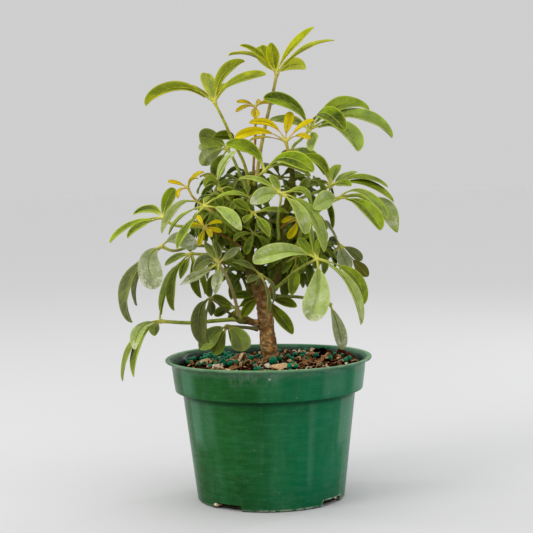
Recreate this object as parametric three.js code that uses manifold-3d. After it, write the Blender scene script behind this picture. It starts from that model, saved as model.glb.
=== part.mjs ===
// Variegated dwarf umbrella plant in a round plastic pot, in millimetres.
// X runs to the right, Y away from the front, Z up. The origin is the centre of the pot's underside.
import * as THREE from 'three';
import Module from 'manifold-3d';
import { mergeVertices } from 'three/addons/utils/BufferGeometryUtils.js';

const wasm = await Module();
wasm.setup();

// ---- Driving dimensions: pot -------------------------------------------------------------------
const POT_HEIGHT = 110;
const RIM_RADIUS = 80;
const BASE_RADIUS = 57.25;
const BAND_BOTTOM = 85;
const BODY_TOP_RADIUS = 67.2;
const BAND_BOTTOM_RADIUS = 72.8;
const BAND_TOP_RADIUS = 75.5;
const POT_WALL = 1.8;
const POT_FLOOR = 2;
const LIP_THICKNESS = 2;
const NOTCH_WIDTH = 24.7;
const NOTCH_HEIGHT = 4.7;
const NOTCH_DEPTH = 6;
const FIRST_NOTCH_ANGLE = -35.5;
const POT_SEGMENTS = 36;

// ---- Driving dimensions: potting mix -----------------------------------------------------------
const SEAT_GAP = 0.35;
const MIX_LEVEL = 103.5;
const MIX_TILT_X = 0.022;
const MIX_TILT_Y = 0.014;
const MIX_BUMP = 1.1;
const CHIP_COUNT = 14;
const PRILL_COUNT = 14;
const PRILL_RADIUS = 1.7;
const CHIP_LENGTH = 7;
const CHIP_WIDTH = 4.2;
const CHIP_THICKNESS = 2.4;
const GOLDEN_ANGLE = 2.39996;
const GOLDEN_SHARE = 0.618;

// ---- Driving dimensions: plant -----------------------------------------------------------------
const TRUNK_SIDES = 9;
const BRANCH_NODE_RADIUS = 3.5;
const STALK_SIDES = 4;
const BLADE_THICKNESS = 0.8;
const LEAFLET_FOOT_WIDTH = 1.3;
const LEAFLET_STALK_WIDTH = 1.8;
const STALK_SHARE = 0.17;
const MATURE_RATIO = 0.37;
const YOUNG_RATIO = 0.27;
const HUB_RADIUS = 2.6;
const YOUNG_HUB_RADIUS = 1.9;

// The plant is set out by eye from a point in front of it: a place is given as the x and z at which
// it lines up on the plane through the pot's axis, with its true depth y behind that plane.
const EYE_DISTANCE = 1177;
const EYE_HEIGHT = 269.4;

const COLOURS = {
  pot: 0x1c5238,
  mix: 0x3b2a1f,
  bark: 0x6b4a30,
  mature: 0x5d7a2c,
  young: 0xb9b21e,
};

function place(x, z, y) {
  const spread = 1 + y / EYE_DISTANCE;
  return new THREE.Vector3(x * spread, y, EYE_HEIGHT + (z - EYE_HEIGHT) * spread);
}

// ---- Solids ------------------------------------------------------------------------------------
function toManifold(geometry) {
  const bare = geometry.clone();
  bare.deleteAttribute('normal');
  bare.deleteAttribute('uv');
  const merged = mergeVertices(bare, 1e-4);
  const vertProperties = new Float32Array(merged.attributes.position.array);
  const triVerts = new Uint32Array(merged.index.array);
  return new wasm.Manifold(new wasm.Mesh({ numProp: 3, vertProperties, triVerts }));
}

function toGeometry(solid) {
  const mesh = solid.getMesh();
  const geometry = new THREE.BufferGeometry();
  geometry.setAttribute('position', new THREE.BufferAttribute(mesh.vertProperties, 3));
  geometry.setIndex(new THREE.BufferAttribute(mesh.triVerts, 1));
  geometry.computeVertexNormals();
  return geometry;
}

function fuse(solids) {
  return solids.reduce((whole, next) => whole.add(next));
}

// A closed solid through rings of points that all have the same count and turn the same way.
function loft(rings) {
  const count = rings[0].length;
  const positions = rings.flat().flatMap((p) => [p.x, p.y, p.z]);
  const index = [];
  for (let ring = 0; ring < rings.length - 1; ring += 1) {
    for (let side = 0; side < count; side += 1) {
      const a = ring * count + side;
      const b = ring * count + ((side + 1) % count);
      const opposite = side * 2 >= count;
      if (opposite) {
        index.push(a, b, b + count, a, b + count, a + count);
      } else {
        index.push(a, b, a + count, b, b + count, a + count);
      }
    }
  }
  const last = (rings.length - 1) * count;
  for (let side = 1; side < count - 1; side += 1) {
    index.push(0, side + 1, side);
    index.push(last, last + side, last + side + 1);
  }
  const geometry = new THREE.BufferGeometry();
  geometry.setAttribute('position', new THREE.Float32BufferAttribute(positions, 3));
  geometry.setIndex(index);
  return geometry;
}

// A round stem through the points, its radius changing evenly between the radii given for them. Both
// ends run on past the points by the overrun.
function stem(points, radii, sides, steps, overrun = 0) {
  const curve = new THREE.CatmullRomCurve3(points, false, 'centripetal');
  const frames = curve.computeFrenetFrames(steps, false);
  const rings = [];
  for (let step = 0; step <= steps; step += 1) {
    const along = step / steps;
    const centre = curve.getPointAt(along);
    const end = Number(step === steps) - Number(step === 0);
    centre.addScaledVector(frames.tangents[step], end * overrun);
    const scaled = along * (radii.length - 1);
    const from = Math.min(Math.floor(scaled), radii.length - 2);
    const radius = THREE.MathUtils.lerp(radii[from], radii[from + 1], scaled - from);
    const ring = [];
    for (let side = 0; side < sides; side += 1) {
      const angle = (side / sides) * 2 * Math.PI;
      const point = centre.clone();
      point.addScaledVector(frames.normals[step], radius * Math.cos(angle));
      point.addScaledVector(frames.binormals[step], radius * Math.sin(angle));
      ring.push(point);
    }
    rings.push(ring);
  }
  return toManifold(loft(rings));
}

// ---- Pot ---------------------------------------------------------------------------------------
function potSolid() {
  const inner = (radius) => radius - POT_WALL;
  const lipBottom = POT_HEIGHT - LIP_THICKNESS;
  const profile = [
    [0, 0],
    [BASE_RADIUS - 1, 0],
    [BASE_RADIUS, 1],
    [BODY_TOP_RADIUS, BAND_BOTTOM],
    [BAND_BOTTOM_RADIUS, BAND_BOTTOM + 0.5],
    [BAND_TOP_RADIUS, lipBottom],
    [RIM_RADIUS - 0.6, lipBottom],
    [RIM_RADIUS, lipBottom + 0.9],
    [RIM_RADIUS - 1.2, POT_HEIGHT],
    [BAND_TOP_RADIUS + 0.6, POT_HEIGHT],
    [inner(BAND_TOP_RADIUS), lipBottom],
    [inner(BAND_BOTTOM_RADIUS), BAND_BOTTOM + 0.5 + POT_WALL],
    [inner(BODY_TOP_RADIUS), BAND_BOTTOM - 1],
    [inner(BASE_RADIUS), POT_FLOOR],
    [0, POT_FLOOR],
  ].map(([radius, height]) => new THREE.Vector2(radius, height));
  let pot = toManifold(new THREE.LatheGeometry(profile, POT_SEGMENTS).rotateX(Math.PI / 2));
  for (let turn = 0; turn < 4; turn += 1) {
    const angle = THREE.MathUtils.degToRad(FIRST_NOTCH_ANGLE + turn * 90);
    const notch = new THREE.BoxGeometry(NOTCH_WIDTH, 2 * NOTCH_DEPTH, 2 * NOTCH_HEIGHT);
    notch.translate(0, -BASE_RADIUS, 0);
    notch.rotateZ(angle);
    pot = pot.subtract(toManifold(notch));
  }
  return pot;
}

// ---- Potting mix -------------------------------------------------------------------------------
function mixHeight(x, y) {
  const tilt = MIX_TILT_X * x + MIX_TILT_Y * y;
  const waves = Math.sin(x * 0.21 + 1.3) * Math.cos(y * 0.17) + 0.6 * Math.sin(x * 0.09 - y * 0.13);
  const mound = 2.2 * Math.exp(-((x - 2) ** 2 + (y - 12) ** 2) / 260);
  return MIX_LEVEL + tilt + MIX_BUMP * waves + mound;
}

// Even, repeatable scatter over the mix by the golden angle.
function scatter(index, count, reach) {
  const angle = index * GOLDEN_ANGLE + 0.7;
  const radius = reach * Math.sqrt((index + 0.5) / count);
  return [radius * Math.cos(angle), radius * Math.sin(angle)];
}

function chipSolid(index) {
  const [x, y] = scatter(index, CHIP_COUNT, 64);
  const length = CHIP_LENGTH * (1 + 0.7 * ((index * GOLDEN_SHARE) % 1));
  const chip = new THREE.BoxGeometry(length, CHIP_WIDTH, CHIP_THICKNESS);
  chip.rotateY(0.25 * Math.sin(index * 1.7));
  chip.rotateZ(index * 1.1);
  chip.translate(x, y, mixHeight(x, y) + 0.5);
  return toManifold(chip);
}

function prillSolid(index) {
  const [x, y] = scatter(index + 0.4, PRILL_COUNT, 60);
  const prill = new THREE.OctahedronGeometry(PRILL_RADIUS, 0);
  prill.translate(x, y, mixHeight(x, y) + 0.6);
  return toManifold(prill);
}

function mixSolid() {
  const fit = POT_WALL + 1.5 * SEAT_GAP;
  const bodyRadius = (height) => THREE.MathUtils.mapLinear(
    height, 1, BAND_BOTTOM, BASE_RADIUS, BODY_TOP_RADIUS) - fit;
  const bandRadius = (height) => THREE.MathUtils.mapLinear(
    height, BAND_BOTTOM, POT_HEIGHT - LIP_THICKNESS, BAND_BOTTOM_RADIUS, BAND_TOP_RADIUS) - fit;
  const topRadii = [1, 0.76, 0.5, 0.25].map((share) => share * bandRadius(102));
  const walls = [
    [0, POT_FLOOR + SEAT_GAP],
    [bodyRadius(POT_FLOOR), POT_FLOOR + SEAT_GAP],
    [bodyRadius(BAND_BOTTOM - 3), BAND_BOTTOM - 2],
    [bandRadius(BAND_BOTTOM + 6), BAND_BOTTOM + 6],
  ];
  const tops = topRadii.map((radius) => [radius, MIX_LEVEL]);
  const profile = [...walls, ...tops, [0, MIX_LEVEL]];
  const points = profile.map(([radius, height]) => new THREE.Vector2(radius, height));
  const geometry = new THREE.LatheGeometry(points, POT_SEGMENTS).rotateX(Math.PI / 2);
  const position = geometry.attributes.position;
  for (let vertex = 0; vertex < position.count; vertex += 1) {
    if (position.getZ(vertex) > MIX_LEVEL - 0.01) {
      position.setZ(vertex, mixHeight(position.getX(vertex), position.getY(vertex)));
    }
  }
  const chips = Array.from({ length: CHIP_COUNT }, (_, index) => chipSolid(index));
  const prills = Array.from({ length: PRILL_COUNT }, (_, index) => prillSolid(index));
  return fuse([toManifold(geometry), ...chips, ...prills]);
}

// ---- Trunk and branches ------------------------------------------------------------------------
// Each stem: places [x, z, y] from its foot, and its radii spread evenly along it.
const TRUNK_STEMS = {
  trunk: {
    places: [[4, 82, 12], [2.5, 106, 12], [0, 122, 12], [-1.5, 138, 12], [-3, 153, 12], [-8, 166, 12],
      [-14, 187, 12], [-14, 200, 12], [-15, 213, 12], [-12.5, 230, 12], [-8, 247, 12]],
    radii: [4, 6.8, 6.4, 6.2, 6.4, 5.8, 5.4, 5.2, 5, 4.4, 3],
    steps: 18,
  },
  lowBranch: {
    places: [[-3, 136.5, 12], [-11, 136.5, 8], [-21.5, 139.5, 0]],
    radii: [2.8, 2.5, 2.9],
    steps: 4,
  },
  rightBranch: {
    places: [[-1, 154, 12], [7, 167, 9], [10, 185, 3], [10.3, 199, 0], [11.5, 212, -2], [17, 228, -4],
      [21.5, 240, -6], [21, 254, -8], [20, 262, -9]],
    radii: [3.4, 3.2, 3, 2.7, 2.4, 2.1, 1.9],
    steps: 14,
  },
};

function trunkSolid(clearance) {
  const stems = Object.values(TRUNK_STEMS).map(({ places, radii, steps }) => stem(
    places.map((at) => place(...at)),
    radii.map((radius) => radius + clearance),
    TRUNK_SIDES, steps, clearance));
  const node = new THREE.IcosahedronGeometry(BRANCH_NODE_RADIUS + clearance, 1);
  node.translate(...place(...TRUNK_STEMS.lowBranch.places.at(-1)).toArray());
  return fuse([...stems, toManifold(node)]);
}

// ---- Compound leaves ---------------------------------------------------------------------------
// The width direction of a leaflet that shows seenWidth of its full width from the front: of the two
// ways it can lean, the one that turns its upper face more towards the axis of its leaf.
function widthDirection(chord, seenWidth, fullWidth, axis) {
  const sight = new THREE.Vector3(0, 1, 0);
  const across = chord.clone().cross(sight).normalize();
  const behind = chord.clone().cross(across).normalize();
  const shown = Math.min(seenWidth / fullWidth, 1);
  const hidden = Math.sqrt(1 - shown * shown);
  const leans = [1, -1].map((turn) => across.clone().multiplyScalar(shown)
    .addScaledVector(behind, turn * hidden));
  const facing = (lean) => Math.abs(lean.clone().cross(chord).normalize().dot(axis));
  return facing(leans[0]) > facing(leans[1]) ? leans[0] : leans[1];
}

function leafletCurve(hub, middle, tip) {
  const control = middle.clone().multiplyScalar(2).addScaledVector(hub, -0.5).addScaledVector(tip, -0.5);
  return new THREE.QuadraticBezierCurve3(hub, control, tip);
}

function leafletWidth(curve, ratio, leastWidth) {
  return Math.max(leastWidth, ratio * curve.getLength() * (1 - STALK_SHARE));
}

// One stalked leaflet: a flat blade of even thickness that widens past its middle to a blunt tip.
function bladeSolid(hub, middle, tip, across, leastWidth, ratio, inset) {
  const curve = leafletCurve(hub, middle, tip);
  const fullWidth = leafletWidth(curve, ratio, leastWidth);
  const outline = [
    [inset / curve.getLength(), LEAFLET_FOOT_WIDTH / fullWidth],
    [STALK_SHARE, LEAFLET_STALK_WIDTH / fullWidth],
    [0.45, 0.94],
    [0.8, 0.9],
    [1, 0.28],
  ];
  const rings = outline.map(([along, share]) => {
    const centre = curve.getPointAt(along);
    const tangent = curve.getTangentAt(along);
    const side = across.clone().addScaledVector(tangent, -across.dot(tangent)).normalize();
    const normal = tangent.clone().cross(side).normalize();
    const halfWidth = (share * fullWidth) / 2;
    const corner = (turn, lift) => centre.clone().addScaledVector(side, turn * halfWidth)
      .addScaledVector(normal, (lift * BLADE_THICKNESS) / 2);
    return [corner(-1, -1), corner(1, -1), corner(1, 1), corner(-1, 1)];
  });
  return toManifold(loft(rings));
}

function seenLeaflet(hub, middle, tip, seenWidth, axis, ratio, inset) {
  const fullWidth = leafletWidth(leafletCurve(hub, middle, tip), ratio, seenWidth);
  const across = widthDirection(tip.clone().sub(hub).normalize(), seenWidth, fullWidth, axis);
  return bladeSolid(hub, middle, tip, across, seenWidth, ratio, inset);
}

// Leaflets set evenly round the axis of their leaf: they rise a little, then droop to their tips.
function ringLeaflets(hubPoint, { count, length, turn }, axis, ratio, inset) {
  const first = axis.clone().cross(new THREE.Vector3(0, 1, 0)).normalize();
  const second = axis.clone().cross(first);
  return Array.from({ length: count }, (_, index) => {
    const angle = THREE.MathUtils.degToRad(turn + (360 * index) / count);
    const outward = first.clone().multiplyScalar(Math.cos(angle))
      .addScaledVector(second, Math.sin(angle));
    const reach = length * (0.84 + 0.16 * ((index * GOLDEN_SHARE) % 1));
    const at = (out, rise) => hubPoint.clone().addScaledVector(outward, out * reach)
      .addScaledVector(axis, rise * reach);
    const across = outward.clone().cross(axis);
    return bladeSolid(hubPoint, at(0.52, 0.07), at(0.88, -0.3), across, 0, ratio, inset);
  });
}

function leafSolid({ stalk, hub, axis = [0, 0, 1], leaflets = [], ring, young = false, radius = 1.25 }) {
  const hubPoint = place(...hub);
  const ratio = young ? YOUNG_RATIO : MATURE_RATIO;
  const axisVector = new THREE.Vector3(...axis).normalize();
  const hubRadius = young ? YOUNG_HUB_RADIUS : HUB_RADIUS;
  const knob = new THREE.OctahedronGeometry(hubRadius, 0).translate(...hubPoint.toArray());
  const path = [...stalk.map((at) => place(...at)), hubPoint];
  const petiole = stem(path, [radius * 1.15, radius], STALK_SIDES, path.length + 1);
  const inset = 0.45 * hubRadius;
  const seen = leaflets.map(([middleX, middleZ, tipX, tipZ, reach, seenWidth]) => seenLeaflet(
    hubPoint,
    place(middleX, middleZ, hub[2] + reach * 0.55),
    place(tipX, tipZ, hub[2] + reach),
    seenWidth, axisVector, ratio, inset));
  const round = ring ? ringLeaflets(hubPoint, ring, axisVector, ratio, inset) : [];
  return fuse([petiole, toManifold(knob), ...seen, ...round]);
}

// Each compound leaf: its leaf stalk's places [x, z, y] from the stem, the hub, and a row for each
// leaflet: the middle's x and z, the tip's x and z, how far the tip lies behind the hub, and the
// width that it shows from the front. A leaf on the far side has a ring of leaflets instead.
const LEAVES = {
  leaf_01: {
    stalk: [[-6.5, 246, 10.5], [-2.4, 271, 10.5], [3, 294.7, 8], [8, 314, 5]],
    hub: [11, 327.5, 3],
    radius: 1.4,
    leaflets: [
      [-3, 343, -16.5, 350.6, -6, 5],
      [-5, 341.5, -25.7, 344, 10, 2.5],
      [8.7, 336, 7, 351.9, 18, 12],
      [18, 341.5, 39.3, 363.4, -4, 6.5],
      [30.5, 345, 55.6, 353.4, 6, 4.5],
      [22, 334.5, 34, 333, 28, 11.5],
      [3.5, 338, -2, 349.5, 26, 12.5],
    ],
  },
  leaf_02: {
    stalk: [[-11, 240, 12], [-16, 261, 10], [-23, 275, 7], [-29.6, 291, 3]],
    hub: [-37, 306.5, 0],
    leaflets: [
      [-64, 319, -91.5, 307, -6, 9.5],
      [-52, 317.5, -68, 321.5, 28, 3],
      [-41, 318, -43, 330, 26, 10.5],
      [-30, 328, -13.5, 339, 6, 10],
      [-24.5, 321.5, 2.6, 328.5, -12, 7],
      [-33, 315, -26.5, 322.5, 34, 9],
    ],
  },
  leaf_03: {
    stalk: [[21, 256, -8], [22.4, 271.6, -2], [29, 277.5, 3]],
    hub: [35, 284.5, 7],
    leaflets: [
      [24, 303, 0.5, 310, -12, 11],
      [22, 291.5, 4.5, 294, 34, 9],
      [57, 302.5, 82.5, 300.5, 14, 12],
      [46, 297.5, 62.5, 284, -32, 10],
      [69, 295, 100.5, 278.5, -4, 10],
      [59.5, 287, 73.5, 268, -26, 11],
      [38, 277, 36, 269.5, -38, 9.5],
    ],
  },
  leaf_04: {
    stalk: [[-12, 236, 14], [-19, 252, 21], [-24, 264, 26]],
    hub: [-28, 271, 30],
    leaflets: [
      [-38, 278.5, -50, 280, 6, 16],
      [-25, 280, -38.5, 281.5, -14, 9],
      [-41, 272.5, -50.5, 273.5, 14, 8],
      [-40, 268.5, -47.5, 259, 10, 14],
      [-33.5, 262, -38, 249, -8, 13],
      [-20, 274, -10, 270, 24, 10],
    ],
  },
  leaf_05: {
    stalk: [[-9, 242, 12], [-5, 249, 2]],
    hub: [0, 253.3, -10],
    leaflets: [
      [-9, 270, -29.5, 275.3, 8, 11],
      [16, 263.5, 38, 253, -26, 11],
      [15, 258.3, 36, 249.5, -8, 4],
    ],
  },
  leaf_06: {
    stalk: [[10.2, 199, 0], [9.5, 215, -18], [12, 230, -33]],
    hub: [12.5, 235.5, -35],
    leaflets: [
      [-4, 246.5, -20, 248.7, 8, 4],
      [9, 243, 5, 251, 22, 7],
      [1, 236, -10.5, 229, -30, 13],
      [26, 223.5, 31, 204.5, -18, 10],
      [30, 237, 36, 221, 10, 5],
      [34, 223, 46, 190.5, -8, 9.5],
    ],
  },
  leaf_07: {
    stalk: [[17, 228, -4], [28, 232, 6], [40, 236.5, 10]],
    hub: [51.5, 241.5, 12],
    leaflets: [
      [73, 247.2, 95.5, 240, 6, 4.5],
      [76, 242.5, 100, 228.5, -2, 6],
      [44, 258.5, 30, 264.8, 16, 9],
      [33, 266, 12.5, 266, 34, 8],
      [53, 250, 57, 258, 34, 9],
      [60, 247, 70.5, 252.5, 34, 5],
      [59, 243, 66, 241.5, -30, 5],
      [40, 243.5, 27, 239, 22, 6],
      [49, 229, 52.5, 208.5, 20, 5],
    ],
  },
  leaf_08: {
    stalk: [[10, 187, 3], [23.5, 196, -2], [28, 208, -5], [45.5, 225, -9]],
    hub: [57, 231.5, -10],
    leaflets: [
      [48, 231, 38, 224, -30, 16],
      [74, 236, 95, 216, -12, 6],
      [75, 231.8, 93.5, 215.6, 8, 4],
      [75, 226, 89.5, 207, -30, 10.5],
      [87.5, 228, 100.5, 204.5, 30, 15.5],
    ],
  },
  leaf_09: {
    stalk: [[4, 160, 10], [13.8, 168.5, -5], [20.6, 174.3, -17], [27.8, 179, -29]],
    hub: [39, 185, -45],
    axis: [0, -0.7, 0.7],
    leaflets: [
      [17, 191.3, -10.5, 184, -8, 13],
      [39.5, 163, 33.5, 137, -14, 21],
      [60.5, 169.5, 74.5, 133.5, -16, 6.5],
      [66.5, 172, 75, 148, 8, 10.5],
      [35, 200, 34, 216, 24, 2.5],
      [41, 195, 42, 204, 34, 4],
      [31, 193, 26.5, 202, 22, 7],
    ],
  },
  leaf_10: {
    stalk: [[6, 163, 12], [18, 170.5, 15], [29, 176, 17], [44, 183, 19]],
    hub: [57.5, 194.5, 20],
    leaflets: [
      [59.5, 186.5, 63.5, 176, -24, 11.5],
      [66.5, 190.5, 73.5, 183, 6, 8],
      [67, 183.5, 78.5, 170.5, -8, 10],
      [52, 198, 47.5, 199, 26, 8],
      [50.5, 207.5, 46, 214, -10, 2.5],
    ],
  },
  leaf_11: {
    stalk: [[-14, 200, 10], [-28, 212, -6], [-40, 222, -22]],
    hub: [-47.5, 227, -30],
    leaflets: [
      [-64, 230.5, -81.5, 208, -18, 5.5],
      [-45, 233, -37.5, 236, 30, 3],
      [-29, 236.5, -10.5, 232.5, 8, 3],
      [-32, 223.5, -19, 208.5, -24, 10],
      [-63, 221.5, -76, 206.5, 8, 2.3],
      [-60, 212.5, -69.5, 195.5, -28, 6.5],
    ],
  },
  leaf_12: {
    stalk: [[-22, 140, 0], [-25, 155, -8], [-30.5, 172, -29]],
    hub: [-37.3, 183, -40],
    axis: [0, -0.6, 0.8],
    leaflets: [
      [-47, 186.3, -56, 177.5, -28, 11],
      [-52, 175, -67.5, 167.5, -8, 8],
      [-38, 171.5, -40.5, 160, -26, 9.5],
      [-42.5, 191.5, -47.5, 201, 18, 7],
      [-38, 192, -40, 203, 24, 7],
      [-29, 189.5, -19, 196, 10, 7],
    ],
  },
  leaf_13: {
    stalk: [[-14, 186, 10], [-33, 194, 1], [-55, 197, -8], [-72, 193.5, -13]],
    hub: [-80.5, 197, -15],
    leaflets: [
      [-69, 203.7, -54.5, 195, -24, 10.5],
      [-91.5, 187, -85.5, 165, -22, 19],
      [-107, 170, -107.5, 137.5, -4, 10],
      [-99, 176, -103, 151.5, 18, 6.5],
    ],
  },
  leaf_14: {
    stalk: [[-13, 184, 13], [-35, 189, 11]],
    hub: [-58, 191, 7],
    leaflets: [
      [-68, 189, -79, 183, 16, 5.5],
      [-71, 176, -74, 147, -12, 7.5],
      [-63, 182, -67, 172, -14, 7],
      [-56, 175, -52.3, 156.5, 16, 7],
      [-51.5, 175, -47, 159.5, -8, 5],
    ],
  },
  leaf_15: {
    stalk: [[-21.5, 139.5, 0], [-40, 138.5, -1], [-60, 137.3, -3]],
    hub: [-83.5, 139, -5],
    radius: 1.5,
    leaflets: [
      [-80.5, 158, -71, 183, 26, 7],
      [-98, 134.5, -104, 117.5, -22, 9],
      [-104, 123.5, -115.5, 93, 4, 5],
      [-99, 125.5, -106.5, 96, -8, 7],
      [-87.5, 134, -88, 128.5, 26, 8.5],
    ],
  },
  leaf_16: {
    stalk: [[-15, 205, 11], [-35, 209, 9], [-55, 211.5, 6], [-71, 213.5, 2]],
    hub: [-79, 219, 0],
    leaflets: [
      [-76.5, 229, -70, 242.5, 24, 10.5],
      [-88, 225.5, -102.5, 223, 22, 7.5],
      [-100, 216, -121.5, 201.5, -6, 4],
      [-94, 215, -107.5, 205, -24, 5],
    ],
  },
  leaf_17: {
    stalk: [[-15, 218, 10], [-24, 228, 3]],
    hub: [-34.5, 240, -5],
    leaflets: [
      [-34.5, 253.5, -22.5, 269.5, -12, 5.5],
      [-41, 247.5, -47, 242.5, -12, 8],
      [-42, 250, -50, 251, 20, 6],
      [-29, 240, -25, 233, 16, 6],
    ],
  },
  leaf_18: {
    stalk: [[-14, 212, 9], [-12, 217, -6]],
    hub: [-9.3, 221.3, -20],
    leaflets: [
      [-2, 213, 2.7, 203.3, -22, 8.5],
      [5, 224, 18.5, 221, 6, 4],
      [-14, 218, -16.5, 214.5, -24, 5],
      [-18, 228, -25, 232, -12, 8],
    ],
  },
  leaf_19: {
    stalk: [[-8, 166, 9], [-7, 168, -6], [-6, 171, -18]],
    hub: [-4.7, 173, -30],
    axis: [0, -0.5, 0.8],
    leaflets: [
      [-15, 181.5, -26.5, 184, -8, 4.5],
      [0, 160.5, 0.8, 142.6, -8, 3],
      [3.8, 165.5, 4.8, 150, 8, 3],
      [-10, 171.5, -15, 168, -22, 5],
    ],
  },
  leaf_20: {
    stalk: [[-22, 139.5, 0], [-29.5, 144, -11], [-38, 152, -20]],
    hub: [-43.5, 156, -25],
    radius: 1.05,
    leaflets: [
      [-53, 146, -51, 120.5, -20, 13],
      [-47.8, 141, -47, 121, 0, 3],
      [-43.5, 150, -43.5, 143, 18, 7.5],
    ],
  },
  leaf_21: {
    stalk: [[-8, 131.5, 10], [-20, 133, 3]],
    hub: [-31.5, 134, -10],
    leaflets: [
      [-41, 128.5, -53, 116.5, -10, 15],
      [-37, 123, -42, 112, -8, 12],
      [-28, 124, -26, 116, -4, 4],
      [-23.5, 126, -19.5, 114.5, -8, 16],
    ],
  },
  leaf_22: {
    stalk: [[-3, 150, 14], [-3, 154, 22]],
    hub: [-3, 157, 27],
    leaflets: [
      [-18, 158, -29, 157, 2, 7],
      [-13, 150.5, -20, 139.5, -10, 9],
      [11, 154, 22.5, 148, -8, 9],
      [10, 141.5, 19.5, 127, -12, 11],
      [-4, 165, -6, 166, 22, 9],
    ],
  },
  leaf_23: {
    stalk: [[3, 157, 14], [28, 155, 15]],
    hub: [48.5, 149.5, 15],
    leaflets: [
      [54, 133.5, 58, 114, -10, 11],
      [42, 147, 37, 140, 14, 8],
      [43, 155, 38, 156, 26, 8],
    ],
  },
  leaf_24: {
    stalk: [[9.5, 178, 5], [16, 183, 6]],
    hub: [23, 187, 7],
    leaflets: [
      [28, 186, 31, 181, -18, 6],
      [22, 175, 19, 157, -6, 10.5],
      [28, 193, 30, 194, 26, 9],
    ],
  },
  leaf_back_1: {
    stalk: [[-9.5, 240, 14], [-20, 243, 38]],
    hub: [-33, 246, 58],
    axis: [-0.3, 0.5, 0.8],
    ring: { count: 6, length: 33, turn: 30 },
  },
  leaf_back_2: {
    stalk: [[-7.5, 241, 13], [2, 245, 34]],
    hub: [12, 248, 50],
    axis: [0.2, 0.5, 0.8],
    ring: { count: 6, length: 34, turn: 0 },
  },
  leaf_back_3: {
    stalk: [[-13.5, 218, 14], [-11, 213, 44]],
    hub: [-9, 212, 76],
    axis: [0, 0.7, 0.7],
    ring: { count: 7, length: 39, turn: 26 },
  },
  leaf_back_4: {
    stalk: [[-14.5, 204, 14], [-28, 208, 32]],
    hub: [-43, 214, 44],
    axis: [-0.35, 0.4, 0.85],
    ring: { count: 6, length: 38, turn: 30 },
  },
  leaf_back_5: {
    stalk: [[-14, 194, 14], [-4, 196, 36]],
    hub: [9, 199, 53],
    axis: [0.2, 0.7, 0.65],
    ring: { count: 6, length: 35, turn: 0 },
  },
  leaf_back_6: {
    stalk: [[-13, 180, 14], [-20, 180, 38]],
    hub: [-31, 178, 60],
    axis: [-0.3, 0.6, 0.7],
    ring: { count: 6, length: 35, turn: 30 },
  },
  leaf_back_7: {
    stalk: [[11, 205, 0], [18, 210, 26]],
    hub: [27, 217, 46],
    axis: [0.3, 0.5, 0.8],
    ring: { count: 6, length: 33, turn: 30 },
  },
  leaf_back_8: {
    stalk: [[8.5, 172, 8], [12, 175, 26]],
    hub: [15, 177, 48],
    axis: [0.2, 0.6, 0.7],
    ring: { count: 6, length: 32, turn: 20 },
  },
  young_leaf_1: {
    stalk: [[-8.8, 245, 14], [-8, 262, 17], [-6.5, 278, 16]],
    hub: [-6, 303, 12],
    radius: 1,
    young: true,
    leaflets: [
      [2, 306.5, 8.5, 304.5, 0, 3.5],
      [-6, 299.5, -6, 295, -13, 7],
      [-13, 306.5, -20.3, 307, 5, 3],
      [-13, 303.5, -21, 299.5, -6, 3],
      [-4, 306, -2, 308, 14, 4],
    ],
  },
  young_leaf_2: {
    stalk: [[20.2, 260, -9], [19, 267, -10.5]],
    hub: [17, 275.5, -12],
    young: true,
    leaflets: [
      [-2, 284.3, -22, 279.5, -4, 7.5],
      [6, 289, -11, 291, 10, 6],
      [18, 287, 21.5, 298.5, 12, 8],
      [28, 287, 39, 292, 2, 4],
      [27, 280.5, 36, 277.5, -20, 4],
      [3, 279.5, -11, 277.5, -20, 4],
    ],
  },
  young_leaf_3: {
    stalk: [[-15, 192, 10], [-30, 203, 1]],
    hub: [-47.3, 211, -10],
    young: true,
    radius: 1,
    leaflets: [
      [-54, 213.5, -60.5, 212.5, -2, 4],
      [-50, 204, -51.7, 197, -8, 4.5],
      [-44, 207.5, -41.7, 204, -16, 4.5],
      [-40, 215, -32.7, 214.5, 4, 3],
      [-50, 216.5, -52.5, 220.5, 12, 4],
      [-41, 210, -34, 207.5, -6, 4],
    ],
  },
  young_leaf_4: {
    stalk: [[-15, 210, 12], [-38, 223, 12], [-55, 234, 11]],
    hub: [-59.3, 242, 10],
    young: true,
    radius: 1,
    leaflets: [
      [-57, 248, -51, 249, -8, 2.5],
      [-55, 250, -46.5, 254, 4, 3],
      [-66, 245.5, -74.5, 247.2, -2, 3],
      [-66, 240, -67, 234.3, -10, 3],
    ],
  },
  young_leaf_5: {
    stalk: [[11, 209, -2], [17, 213, -7]],
    hub: [24, 216, -11],
    young: true,
    radius: 1,
    leaflets: [
      [19, 217, 12.7, 213.5, -7, 4],
      [22.5, 209, 16.8, 201.5, -6, 6.5],
      [29, 220, 33, 217, 6, 4],
    ],
  },
};

// ---- Assembly ----------------------------------------------------------------------------------
function subPart(name, solid, colour, roughness) {
  const material = new THREE.MeshStandardMaterial({ color: colour, roughness, metalness: 0 });
  const mesh = new THREE.Mesh(toGeometry(solid), material);
  mesh.name = name;
  return mesh;
}

function buildPlant() {
  const plant = new THREE.Group();
  const trunk = trunkSolid(0);
  const trunkRoom = trunkSolid(SEAT_GAP);
  plant.add(subPart('pot', potSolid(), COLOURS.pot, 0.35));
  plant.add(subPart('potting_mix', mixSolid().subtract(trunkRoom), COLOURS.mix, 0.95));
  plant.add(subPart('trunk', trunk, COLOURS.bark, 0.85));
  for (const [name, leaf] of Object.entries(LEAVES)) {
    const colour = leaf.young ? COLOURS.young : COLOURS.mature;
    plant.add(subPart(name, leafSolid(leaf).subtract(trunkRoom), colour, 0.45));
  }
  return plant;
}

export default buildPlant();
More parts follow.
